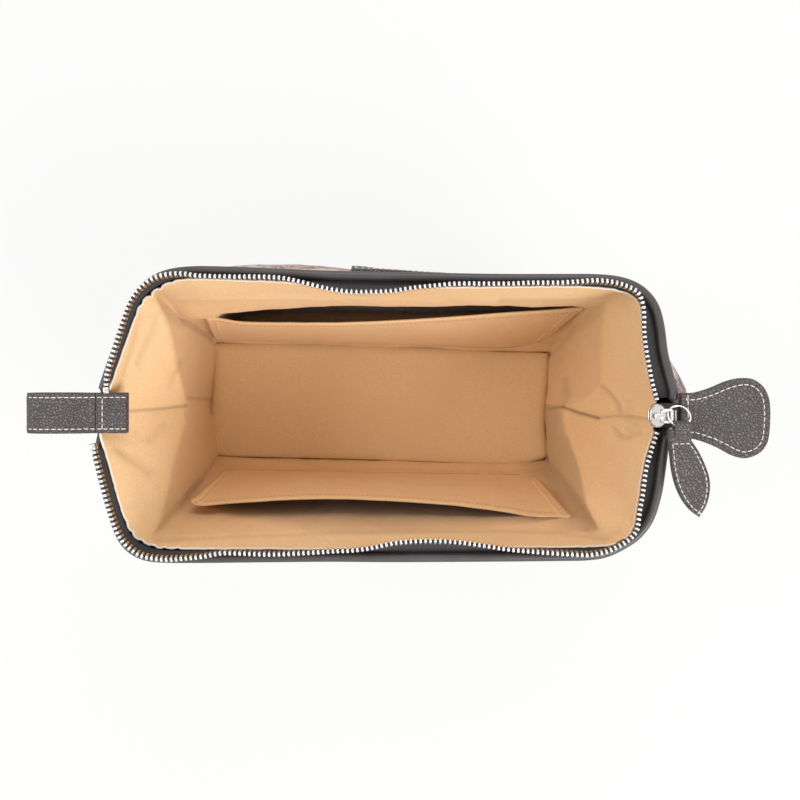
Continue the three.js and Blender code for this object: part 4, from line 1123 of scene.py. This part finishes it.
def tooth_mesh():
    """One tooth: legs that clamp the tape's bead, and a rounded head. X runs along the tape, Y up out of it."""
    w, t = TOOTH_WIDE / 2, TOOTH_THICK / 2
    rings = []
    for y, wide, thick in TOOTH_ROWS:
        turns = [2 * math.pi * k / TOOTH_STEPS for k in range(TOOTH_STEPS)]
        xs = [w * wide * rounded_power(math.cos(a), TOOTH_SQUARE) for a in turns]
        zs = [t * thick * rounded_power(math.sin(a), TOOTH_SQUARE) for a in turns]
        rings.append([(x, y, z) for x, z in zip(xs, zs)])
    return lofted(np.array(rings), flip=True)


def tooth_axes(along, up):
    """Along the tape, up out of it at a right angle, and across it."""
    up = unit(up - along * np.dot(up, along))
    return np.stack([along, up, np.cross(along, up)])


def add_tape_and_teeth(side):
    name, body = SIDE_NAMES[side], f"{SIDE_NAMES[side]}_frame"
    chain = chain_line(side)
    foot, root = tape_profile(side, chain)
    climb = unit(chain - root)
    across = unit(np.cross(tangents(chain), climb))
    rows = [foot * (1 - t) + root * t for t in np.linspace(0, 0.8, 5)]
    rows += [root * (1 - t) + (chain - climb * TAPE_EDGE) * t for t in np.linspace(0.1, 1, 9)]
    tape = sheet_mesh(np.array(rows), TAPE_THICK, across[None] * side)
    make(f"{name}_tape_cloth", tape, TAPE, body, [f"{name}_tape"])
    make(f"{name}_tape_bead", tube_mesh(chain - climb * BEAD_DEPTH, BEAD_RADIUS, 8), TAPE, body)
    count = int(length_of(chain) / TOOTH_PITCH)
    at, roots = resample(chain, count * 4 + 1), resample(root, count * 4 + 1)
    tooth, tooth_faces = tooth_mesh()
    parts = []
    rng = np.random.default_rng(7 + side)
    for k in range(2, 4 * count, 4):
        axes = tooth_axes(unit(at[k + 1] - at[k - 1]), at[k] - roots[k])
        jitter = 1 + TOOTH_JITTER * rng.standard_normal()
        parts.append((at[k] + (tooth * [1, jitter, 1]) @ axes, tooth_faces))
    make(f"{name}_teeth_row", joined(parts), TEETH, body, [f"{name}_teeth"])
    along = unit(chain[-1] - chain[-6])
    stop = (tooth * STOP_SIZE) @ tooth_axes(along, unit(chain[-1] - root[-1]))
    stop = (chain[-1] + along * STOP_FROM_END + stop, tooth_faces)
    make(f"{name}_stop_block", stop, METAL, body, [f"{name}_end_stop"])


for side in (FRONT, BACK):
    add_rim(side)
    add_piping(side)
    add_tape_and_teeth(side)


# Pockets

POCKET_THICK, HEM_RADIUS, HEM_DEPTH, SEAM_THICK = 0.9, 0.8, 0.7, 0.5
POCKET_SCALE, POCKET_WAVES = 0.03, ((1.2, 1.0), (0.5, 3.0))
SEAM_COLUMN = {"left": (0, 4), "right": (-1, -5)}  # the pocket's end, and how far in the folded strip reaches
SEAM_BULGE = (0.5, 0.25)  # out from the wall and up
SEAM_STITCH, HEM_STITCH = (2.4, 1.7, 0.16), (2.6, 1.9, 0.16)


def pocket_grid(side):
    """The panel from its foot up to the lip, slack in the middle and folded back into a hem at the top."""
    lip, foot = [
        smooth_curve([place(x, y, z) for x, y in POCKETS[side][edge]], POCKET_COLS)
        for edge, z in (("lip", POCKET_LIP_Z), ("foot", POCKET_FOOT_Z[side]))
    ]
    slack = np.sin(np.pi * np.linspace(0, 1, POCKET_COLS)) ** 0.6
    rows = []
    for t in np.linspace(0, 1, POCKET_ROWS):
        line = foot * (1 - t) + lip * t
        line[:, 1] -= side * (math.sin(math.pi * t) * slack + (HEM_DEPTH if t > HEM_SHARE else 0.0))
        for p, loose in zip(line, slack):
            wave = ripple((p[0] * POCKET_SCALE, side * 5.0, p[2] * POCKET_SCALE), *POCKET_WAVES)
            p[1] -= side * wave * loose * math.sin(math.pi * min(t, 0.9))
        rows.append(line)
    return np.array(rows)


def pocket_seam(side, grid, end):
    """A folded strip along one end of the pocket, where it's sewn to the lining, and the line of its thread."""
    line, beside = [grid[2:, column] for column in SEAM_COLUMN[end]]
    out = np.array([0, -side * SEAM_BULGE[0], SEAM_BULGE[1]])
    shares = np.linspace(-0.1, 1, 7)
    strip = np.array([line + (beside - line) * t + out * math.sin(math.pi * min(1, 0.15 + t)) for t in shares])
    return sheet_mesh(strip, SEAM_THICK, np.array([0, side * 1.0, 0])), strip[4] + out * 0.4


def add_pocket(side):
    name = SIDE_NAMES[side]
    grid = pocket_grid(side)
    normal = unit(np.cross(np.gradient(grid, axis=1), np.gradient(grid, axis=0)))
    normal *= np.sign(normal[..., 1:2]) * side
    hem = tube_mesh(grid[-1] + normal[-1] * 0.45, HEM_RADIUS, 10)
    parts = {"pocket_cloth": sheet_mesh(grid, POCKET_THICK, normal), "pocket_hem": hem}
    thread = []
    for end in SEAM_COLUMN:
        parts[f"pocket_seam_{end}"], line = pocket_seam(side, grid, end)
        thread.append(stitch_line(line, (0, -side * 0.6, 0.8), SEAM_STITCH))
    hem_row = grid[-3] - normal[-3] * 0.1
    thread.append(stitch_line(hem_row[4:-4], -normal[-3].mean(axis=0), HEM_STITCH))
    parts["pocket_thread"] = joined(thread)
    for part, shape in parts.items():
        look = FINE_THREAD if part == "pocket_thread" else LINING
        obj = make(f"{name}_{part}", shape, look, None)
        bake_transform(obj)
        if part == "pocket_cloth":
            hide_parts(f"{name}_pocket")


for side in (FRONT, BACK):
    add_pocket(side)


# Leather sheets with a rounded edge, from an outline seen from above

PLATE_RINGS, EDGE_STEPS = 14, 7


def padded_plate(outline, height, thickness, edge):
    """A leather plate round a middle height or heights: two faces of rings with a rounded edge between them."""
    z_of = height if callable(height) else lambda x, y: height
    outline = np.asarray(outline, float)
    inw, counter_clockwise = closed_inward(outline)
    centre, half = outline.mean(axis=0), thickness / 2
    shrink = [outline * (1 - s) + centre * s for s in np.linspace(0.06, 0.985, PLATE_RINGS)]
    levels = [(flat, -half) for flat in shrink[::-1]]
    for k in range(EDGE_STEPS):
        a = -math.pi / 2 + math.pi * k / (EDGE_STEPS - 1)
        levels.append((outline + inw * (edge * (1 - math.cos(a))), half * math.sin(a)))
    levels += [(flat, half) for flat in shrink]
    rings = [np.column_stack([flat, np.array([z_of(x, y) for x, y in flat]) + lift]) for flat, lift in levels]
    verts, faces = lofted(np.array(rings))
    return verts, faces if counter_clockwise else [f[::-1] for f in faces]


TAB_PX = [
    (695, 393), (703, 391), (712, 388), (729, 381), (744, 378), (755.5, 380), (765, 388),
    (770, 400), (771, 415), (770, 433.5), (767, 445), (759, 454), (746, 458.5), (734, 456), (721, 449),
    (707, 443), (693.5, 439),
]
TAB_Z = {"under": (132.4, 134.0), "top": (135.3, 136.9)}
TAB_TOP, TAB_THREAD_Z = 136.9, 136.95
TAB_START_X = 145.4
TAB_POINTS, TAB_END_POINTS = 150, 24
TAB_CORE_Z, TAB_CORE_THICK = 134.65, 1.4
TAB_EDGE, TAB_CORE_EDGE = 0.7, 0.4  # how far their edges are rounded
TAB_SEAM, TAB_SEAM_X = 3.3, 147.6  # in from the edge, and how near the root it starts
TAB_STITCH = (3.1, 2.3, 0.3)


def add_tab():
    """Two layers of leather with a painted edge between them, and the sewing on the top one."""
    outline = smooth_curve([place(x, y, TAB_TOP)[:2] for x, y in TAB_PX], 120)
    first, last = [[(TAB_START_X, outline[k][1] + off)] for k, off in ((0, -0.2), (-1, 0.2))]
    arc = resample(np.concatenate([first, outline, last]), TAB_POINTS)
    closed = np.concatenate([arc, resample(np.concatenate([last, first]), TAB_END_POINTS)[1:-1]])
    for layer, (low, high) in TAB_Z.items():
        plate = padded_plate(closed, (low + high) / 2, high - low, TAB_EDGE)
        make(f"tab_leather_{layer}", plate, PEBBLED, "end_tab", [f"end_tab_{layer}"])
    core = padded_plate(closed * [1, 0.96] + [0.1, 0], TAB_CORE_Z, TAB_CORE_THICK, TAB_CORE_EDGE)
    make("tab_edge_paint", core, EDGE, "end_tab", ["end_tab_core"])
    inner = closed + closed_inward(closed)[0] * TAB_SEAM
    seam = at_height(inner[inner[:, 0] > TAB_SEAM_X], TAB_THREAD_Z)
    sewing = stitch_line(np.concatenate([seam, seam[:1]]), (0, 0, 1.0), TAB_STITCH)
    make("tab_stitching", sewing, THREAD, "end_tab")


add_tab()


# Zip slider, link and ring

TAIL_X = (132.5, 147.0)  # the tape's tail runs from under the slider into the tab
TAIL_Z, TAIL_HALF_THICK = 134.65, 0.3
TAIL_CORNER, TAIL_EDGE = 0.2, 0.2
TAIL_TOOTH, TAIL_TOOTH_HALF = 0.6, 0.7  # and half a tooth's width, as a share of it
SLIDER_LEFT, BRIDGE_RIGHT = 129.3, 136.4
SLIDER_HALF = [(0, 0), (0.15, 2.4), (1.1, 4.5), (2.9, 5.7), (5.0, 5.6), (6.6, 4.4), (7.8, 3.2), (8.6, 2.4)]
FLANGE = ((1.4, 4.2), (3.2, 5.0), (5.4, 4.6), (7.2, 3.2))
FLANGE_Z, FLANGE_RADIUS, FLANGE_SQUASH = 137.4, 0.95, 1.5
POST_X, POST_Z, POST_RADIUS = 1.6, (136.0, 139.0), 1.2
PLATE_EDGE = 0.45
PLATES = {"under": (135.3, 136.3), "upper": (138.5, 139.5)}
BRIDGE = [(0, 139.3), (0.03, 140.8), (0.14, 142.0), (0.5, 142.5), (0.86, 142.0), (0.97, 140.8), (1, 139.3)]
BRIDGE_START = 1.2  # in from the slider's left end
BRIDGE_HALF, BRIDGE_HALF_THICK, BRIDGE_CORNER = 1.25, 0.42, 0.6
LINK_X, LINK_HALF, LINK_Z = (134.9, 139.7), 2.9, 140.9
LINK_CORNER, LINK_RADIUS = 0.55, 0.72
RING_X, RING_RADIUS, RING_TILT, RING_WIRE = 143.0, 5.45, 0.48, 0.52
BAND_SIDES, BAND_FACE = 16, 0.7  # a face is flatter the smaller this is


def band_mesh(path, half_width, half_thick, across, corner):
    """A strip of metal or leather along a path; a small corner makes its edges square."""
    across = np.array(across, float)
    up = unit(np.cross(across, tangents(path)))
    ca, sa = np.cos(full_turn(BAND_SIDES)), np.sin(full_turn(BAND_SIDES))
    wide, high = np.sign(ca) * np.abs(ca) ** corner, np.sign(sa) * np.abs(sa) ** BAND_FACE
    half_width = np.broadcast_to(half_width, len(path))
    rings = path[:, None] + half_width[:, None, None] * wide[None, :, None] * across
    return lofted(rings + half_thick * high[None, :, None] * up[:, None])


def block_mesh(low, high):
    (x0, y0, z0), (x1, y1, z1) = low, high
    verts = [(x, y, z) for z in (z0, z1) for x, y in ((x0, y0), (x1, y0), (x1, y1), (x0, y1))]
    sides = [(k, (k + 1) % 4, 4 + (k + 1) % 4, 4 + k) for k in range(4)]
    return verts, [(3, 2, 1, 0), (4, 5, 6, 7)] + sides


def add_tail():
    """The end of the tape, from under the slider into the leather tab."""
    low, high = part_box("tape_tail")
    middle, half = (low[1] + high[1]) / 2 / MM, (high[1] - low[1]) / 2 / MM
    path = resample([(x, middle, TAIL_Z) for x in TAIL_X], 24)
    cloth = band_mesh(path, half, TAIL_HALF_THICK, (0, 1.0, 0), TAIL_CORNER)
    bend_with_tab(make("tail_cloth", cloth, TAPE, None, ["tape_tail"], smooth=False))
    low, high = np.array(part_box("chain_tail")) / MM
    wide = TAIL_TOOTH * TAIL_TOOTH_HALF
    teeth = [
        block_mesh((x - wide, *low[1:]), (x + wide, *high[1:]))
        for x in np.arange(low[0] + TAIL_TOOTH, high[0], 2 * TAIL_TOOTH)
    ]
    bend_with_tab(make("tail_teeth", joined(teeth), TEETH, None, ["chain_tail"], smooth=False))


def bend_with_tab(obj):
    bevel(obj, TAIL_EDGE)
    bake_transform(obj)


def add_slider():
    """A shield in two plates with walls between them, narrower at its neck on the right, and its bridge."""
    outline = [(SLIDER_LEFT + x, y) for x, y in SLIDER_HALF + [(x, -y) for x, y in SLIDER_HALF[:0:-1]]]
    outline = smooth_curve(outline, 80, closed=True)[:-1]
    for level, (low, high) in PLATES.items():
        plate = padded_plate(outline, (low + high) / 2, high - low, PLATE_EDGE)
        nodes = ["zip_slider"] if level == "upper" else []
        make(f"slider_plate_{level}", plate, METAL, "slider_body", nodes)
    walls = []
    for way in (1, -1):
        line = resample([(SLIDER_LEFT + x, way * y, FLANGE_Z) for x, y in FLANGE], 14)
        walls.append(tube_mesh(line, FLANGE_RADIUS, 10, squash=FLANGE_SQUASH))
    walls.append(tube_mesh([(SLIDER_LEFT + POST_X, 0, z) for z in POST_Z], POST_RADIUS, 12, up=(1, 0, 0)))
    make("slider_flanges", joined(walls), METAL, "slider_body")
    left = SLIDER_LEFT + BRIDGE_START
    path = smooth_curve([(left + (BRIDGE_RIGHT - left) * t, 0, z) for t, z in BRIDGE], 40)
    bridge = band_mesh(path, BRIDGE_HALF, BRIDGE_HALF_THICK, (0, 1.0, 0), BRIDGE_CORNER)
    make("slider_bridge", bridge, METAL, "slider_body")


def add_link():
    (x0, x1), wide, soft = LINK_X, LINK_HALF, LINK_CORNER
    near = [(x0, -wide + soft), (x0 + soft, -wide), (x1 - soft, -wide), (x1, -wide + soft)]
    corners = near + [(x, -y) for x, y in near[::-1]]
    loop = resample(corners + corners[:1], 97)[:-1]
    wire = tube_mesh(at_height(loop, LINK_Z), LINK_RADIUS, 10, closed=True)
    make("pull_link_wire", wire, METAL, "link_body", ["pull_link"])


def add_ring():
    across, along = RING_RADIUS * np.sin(full_turn(96)), RING_RADIUS * np.cos(full_turn(96))
    lean, rise = math.cos(RING_TILT), math.sin(RING_TILT)
    ring = np.stack([RING_X + along, across * lean, LINK_Z - across * rise], axis=1)
    wire = tube_mesh(ring, RING_WIRE, 12, up=(0, rise, lean), closed=True)
    make("jump_ring", wire, METAL, "ring_body", ["pull_ring"])


add_tail()
add_slider()
add_link()
add_ring()


# Leaf pull

LEAF_PX = [
    (666, 429), (665.6, 438), (667.4, 452), (670, 470), (674, 485), (680.5, 499), (689, 510), (699, 517.5),
    (706, 506), (709.3, 492), (708.8, 479), (704.5, 466), (697, 451), (688, 438), (684.5, 429),
]
LEAF_SHIFT = 0.4  # to the right of the photograph's place, so that it's clear of the front rim
LEAF_ROOT = (142.9, -4.75)  # where its neck goes round the ring
LEAF_Z, LEAF_THICK, LEAF_EDGE = 141.0, 2.4, 0.8
LEAF_FALL = (143.4, -0.12, 0.0009)  # its height at the root, and how it falls away from there
LEAF_SEAM, LEAF_SEAM_PX = 1.9, 442  # in from the edge, and the pixel row above which there's none
LEAF_THREAD = 1.25  # the thread's line over the leaf's middle
LEAF_STITCH = (2.9, 2.1, 0.27)
NECK_FOOT = 8.5  # where the neck runs into the leaf
NECK_BEND = (143.2, 2.0, 1.9)  # the height of its turn round the wire, and how far it reaches out and up
NECK_X = 0.4  # to the right of the root
NECK_SHIFTS, NECK_RISE = (0.3, 0.7), 0.35  # it lies this much further right, and off the leaf's middle
NECK_PINCH = (3.5, 144.2, 141.7)  # where its two layers come together, and their heights there
NECK_CORNER = 0.35
NECK_SHARES, NECK_HALF = (0, 0.25, 0.5, 0.75, 1), (4.4, 4.1, 3.8, 4.1, 4.4)  # half its width along it
NECK_HALF_THICK = 0.6


def leaf_height(x, y):
    away = math.hypot(x - LEAF_ROOT[0], y - LEAF_ROOT[1])
    return LEAF_FALL[0] + LEAF_FALL[1] * away + LEAF_FALL[2] * away * away


def leaf_outline():
    points = [np.add(place(x, y, LEAF_Z)[:2], (LEAF_SHIFT, 0)) for x, y in LEAF_PX]
    tip = len(points) // 2
    left, right = smooth_curve(points[: tip + 1], 60), smooth_curve(points[tip:], 60)
    outline = np.concatenate([left, right[1:]])
    neck = resample([outline[-1], outline[0]], 12)[1:-1]
    return np.concatenate([outline, neck])


def neck_mesh():
    """The neck: a strap that leaves the leaf's top, turns round the ring's wire and comes back underneath."""
    x, y = LEAF_ROOT[0] + NECK_X, LEAF_ROOT[1]
    middle, reach, rise = NECK_BEND
    bend = [(x, y + reach * math.sin(a), middle + rise * math.cos(a)) for a in np.linspace(0, math.pi, 9)]
    foot = leaf_height(x, y - NECK_FOOT)
    (near, far), (back, over, under) = NECK_SHIFTS, NECK_PINCH
    start = [(x + far, y - NECK_FOOT, foot + NECK_RISE), (x + near, y - back, over)]
    end = [(x + near, y - back, under), (x + far, y - NECK_FOOT, foot - NECK_RISE)]
    path = smooth_curve(start + bend + end, 50)
    half_width = np.interp(np.linspace(0, 1, len(path)), NECK_SHARES, NECK_HALF)
    return band_mesh(path, half_width, NECK_HALF_THICK, (1.0, 0, 0), NECK_CORNER)


def add_leaf():
    outline = leaf_outline()
    plate = padded_plate(outline, leaf_height, LEAF_THICK, LEAF_EDGE)
    make("leaf_leather", plate, PEBBLED, "leaf_body", ["leaf_pull"])
    inner = outline + closed_inward(outline)[0] * LEAF_SEAM
    top = np.array([(x, y, leaf_height(x, y) + LEAF_THREAD) for x, y in inner])
    line = top[top[:, 1] < place(0, LEAF_SEAM_PX, LEAF_Z)[1]]
    sewing = stitch_line(np.concatenate([line, line[:1]]), (0, 0, 1.0), LEAF_STITCH)
    make("leaf_stitching", sewing, THREAD, "leaf_body")
    make("leaf_neck", neck_mesh(), PEBBLED, "leaf_body")


add_leaf()


# Grab loop

STRAP_Y, STRAP_Z = 1.0, 130.3
STRAP_HALF, STRAP_THICK, STRAP_COLS = 10.1, 1.4, 25
STRAP_WORN, STRAP_RUMPLE, STRAP_SCALE = -0.35, 0.12, 0.3
STRAP_SEAM = 7.85  # from the strap's middle
STRAP_STITCH = (3.1, 2.2, 0.3)
THREAD_LIFT = 0.12
ANCHOR_X = (-130.3, -145.3)
ANCHOR_UP, ANCHOR_DOWN = 2.85, -2.8
LOOP_TOP = [(-145.7, 2.8), (-149, 3.1), (-156, 5.0), (-167, 5.9), (-175, 5.1), (-179.6, 2.4), (-180.6, 0)]
LOOP_SEWN_UP = 2.6  # above the strap's middle: the loop's stitches show from there up
CROSS_SEAM_X = -142.0


def strap_sheet(path):
    """A strap whose outer face follows the path, with worn edges, and the side it faces."""
    facing = unit(np.cross(np.array([0, 1.0, 0]), tangents(path)))
    across = np.linspace(-1, 1, STRAP_COLS)
    grid = path[:, None] + STRAP_HALF * across[None, :, None] * np.array([0, 1.0, 0])
    grid = grid + (STRAP_WORN * np.abs(across) ** 8)[None, :, None] * facing[:, None]
    rumple = np.array([[ripple(p * STRAP_SCALE, (STRAP_RUMPLE, 1.0)) for p in row] for row in grid])
    grid = grid + rumple[..., None] * facing[:, None]
    return sheet_mesh(grid, STRAP_THICK, -facing[:, None]), facing


def stitch_rows(path, facing):
    lines = [path + np.array([0, way * STRAP_SEAM, 0]) + facing * THREAD_LIFT for way in (1, -1)]
    return [stitch_line(line, facing, STRAP_STITCH) for line in lines]


def add_grab_loop():
    top = [(x, STRAP_Y, STRAP_Z + z) for x, z in LOOP_TOP]
    bottom = [(x, STRAP_Y, STRAP_Z - z) for x, z in LOOP_TOP[-2::-1]]
    path = smooth_curve(top + bottom, 120)
    strap, facing = strap_sheet(path)
    make("strap_loop", strap, PEBBLED, "loop_body", ["grab_loop"])
    seen = path[:, 2] > STRAP_Z + LOOP_SEWN_UP
    make("strap_loop_stitching", joined(stitch_rows(path[seen], facing[seen])), THREAD, "loop_body")


def add_anchor():
    """The strap's two ends, sewn over the ends of both tapes."""
    upper, lower = [
        resample([(x, STRAP_Y, STRAP_Z + lift) for x in ends], 24)
        for ends, lift in ((ANCHOR_X, ANCHOR_UP), (ANCHOR_X[::-1], ANCHOR_DOWN))
    ]
    strap, facing = strap_sheet(upper)
    both = joined([strap, strap_sheet(lower)[0]])
    make("strap_anchor", both, PEBBLED, "mouth_ends", ["loop_anchor"])
    height = STRAP_Z + ANCHOR_UP + THREAD_LIFT
    cross = [(CROSS_SEAM_X, STRAP_Y + y, height) for y in np.linspace(-STRAP_SEAM, STRAP_SEAM, 30)]
    rows = stitch_rows(upper, facing) + [stitch_line(cross, (0, 0, 1.0), STRAP_STITCH)]
    make("strap_anchor_stitching", joined(rows), THREAD, "mouth_ends")


add_grab_loop()
add_anchor()


# Patches under the rims

PATCH_X = {BACK: (-18.0, 30.0), FRONT: (-21.0, 27.0)}
PATCH_Z = (108.5, 129.0)
PATCH_AWAY = 1.6  # clear of the canvas and its thickness
PATCH_THICK, PATCH_EDGE = 1.5, 0.4
PATCH_SEAM, PATCH_THREAD = 2.2, 1.6  # in from the patch's edge, and out from its back
PATCH_STITCH = (3.0, 2.1, 0.28)


def add_patch(side):
    name = SIDE_NAMES[side]
    (x0, x1), (z0, z1) = PATCH_X[side], PATCH_Z

    def on_patch(x, z, lift):
        return (x, canvas_y(side, x, z) + side * (PATCH_AWAY + lift), z)

    grid = np.array([[on_patch(x, z, 0.0) for x in np.linspace(x0, x1, 49)] for z in np.linspace(z0, z1, 25)])
    plate = sheet_mesh(grid, PATCH_THICK, np.array([0, side * 1.0, 0]))
    leather = make(f"{name}_patch_leather", plate, PEBBLED, None, [f"{name}_patch"])
    bevel(leather, PATCH_EDGE)
    x0, x1, z0, z1 = x0 + PATCH_SEAM, x1 - PATCH_SEAM, z0 + PATCH_SEAM, z1 - PATCH_SEAM
    corners = [(x0, z0), (x1, z0), (x1, z1), (x0, z1), (x0, z0)]
    line = [on_patch(x, z, PATCH_THREAD) for x, z in resample(corners, 240)]
    sewing = stitch_line(line, (0, side * 1.0, 0), PATCH_STITCH)
    sewing = make(f"{name}_patch_stitching", sewing, THREAD, None)
    for obj in (leather, sewing):
        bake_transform(obj)


for side in (FRONT, BACK):
    add_patch(side)

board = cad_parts["base_board"].data.materials
board.clear()
board.append(BOARD)


# Stage, light and camera

STAGE_HALF, STAGE_Z = 6.0, -0.0002  # metres
LAMPS = {  # place and aim in metres, then size and power
    "front right": ((1.2, -1.2, 1.35), (0, 0, 0.1), 1.3, 38),
    "left": ((-1.7, 0.1, 1.3), (0, 0, 0.1), 1.2, 17),
    "back": ((0.3, 1.7, 1.4), (0, 0, 0.1), 1.2, 16),
}
PICTURE_PX, SENSOR = 800, 36
PAPER, PAPER_ROUGH = (0.8, 0.8, 0.79), 0.9  # as the lamps light it
PAPER_SEEN = (0.985, 0.982, 0.98)  # its own glow to the camera
PAPER_MIX = 0.86  # the glow's share of what the camera sees, the rest takes the shadow
ROOM_LIGHT, ROOM_SEEN = 0.5, (1, 0.998, 0.996)


def placed(name, data):
    obj = bpy.data.objects.new(name, data)
    bpy.context.scene.collection.objects.link(obj)
    return obj


def add_stage():
    """White paper that stays nearly white to the camera, with a faint shadow."""
    mesh = bpy.data.meshes.new("stage_floor")
    s = STAGE_HALF
    mesh.from_pydata([(-s, -s, 0), (s, -s, 0), (s, s, 0), (-s, s, 0)], [], [(0, 1, 2, 3)])
    floor = placed("stage_floor", mesh)
    floor.location.z = STAGE_Z
    n = material("stage_paper")
    mesh.materials.append(n.finish(PAPER, PAPER_ROUGH))
    glow = n.add("Emission", {"Color": PAPER_SEEN, "Strength": 1.0})
    sockets = {0: n.times(n.seen(), PAPER_MIX), 1: n.shader.outputs[0], 2: glow.outputs[0]}
    n.into(n.nodes["Material Output"].inputs["Surface"], n.add("MixShader", sockets).outputs[0])


def add_light():
    """A white room that is brighter to the camera than to the bag, and three lamps."""
    world = bpy.data.worlds.new("studio")
    bpy.context.scene.world = world
    n = Nodes(world)
    room = n.nodes["Background"]
    n.into(room.inputs["Color"], (1, 1, 1))
    n.into(room.inputs["Strength"], ROOM_LIGHT)
    wall = n.add("Background", {"Color": ROOM_SEEN, "Strength": 1.0})
    mix = n.add("MixShader", {0: n.seen(), 1: room.outputs[0], 2: wall.outputs[0]})
    n.into(n.nodes["World Output"].inputs["Surface"], mix.outputs[0])
    for name, (at, aim, size, power) in LAMPS.items():
        data = bpy.data.lights.new(name, "AREA")
        data.size, data.energy = size, power
        lamp = placed(name, data)
        lamp.location = at
        lamp.rotation_mode = "QUATERNION"
        lamp.rotation_quaternion = (Vector(aim) - Vector(at)).to_track_quat("-Z", "Y")


def add_camera():
    """Straight down from over the nadir, with the picture shifted to the photograph's frame."""
    data = bpy.data.cameras.new("camera")
    data.sensor_width = SENSOR
    data.lens = SENSOR * (EYE_Z - RIM_Z) / (PICTURE_PX * PIXEL_AT_RIM)
    data.shift_x = (PICTURE_PX / 2 - NADIR_PX[0]) / PICTURE_PX
    data.shift_y = (NADIR_PX[1] - PICTURE_PX / 2) / PICTURE_PX
    cam = placed("camera", data)
    cam.location = (EYE_X * MM, EYE_Y * MM, EYE_Z * MM)
    bpy.context.scene.camera = cam


add_stage()
add_light()
add_camera()
bpy.context.scene.view_settings.view_transform = "Standard"
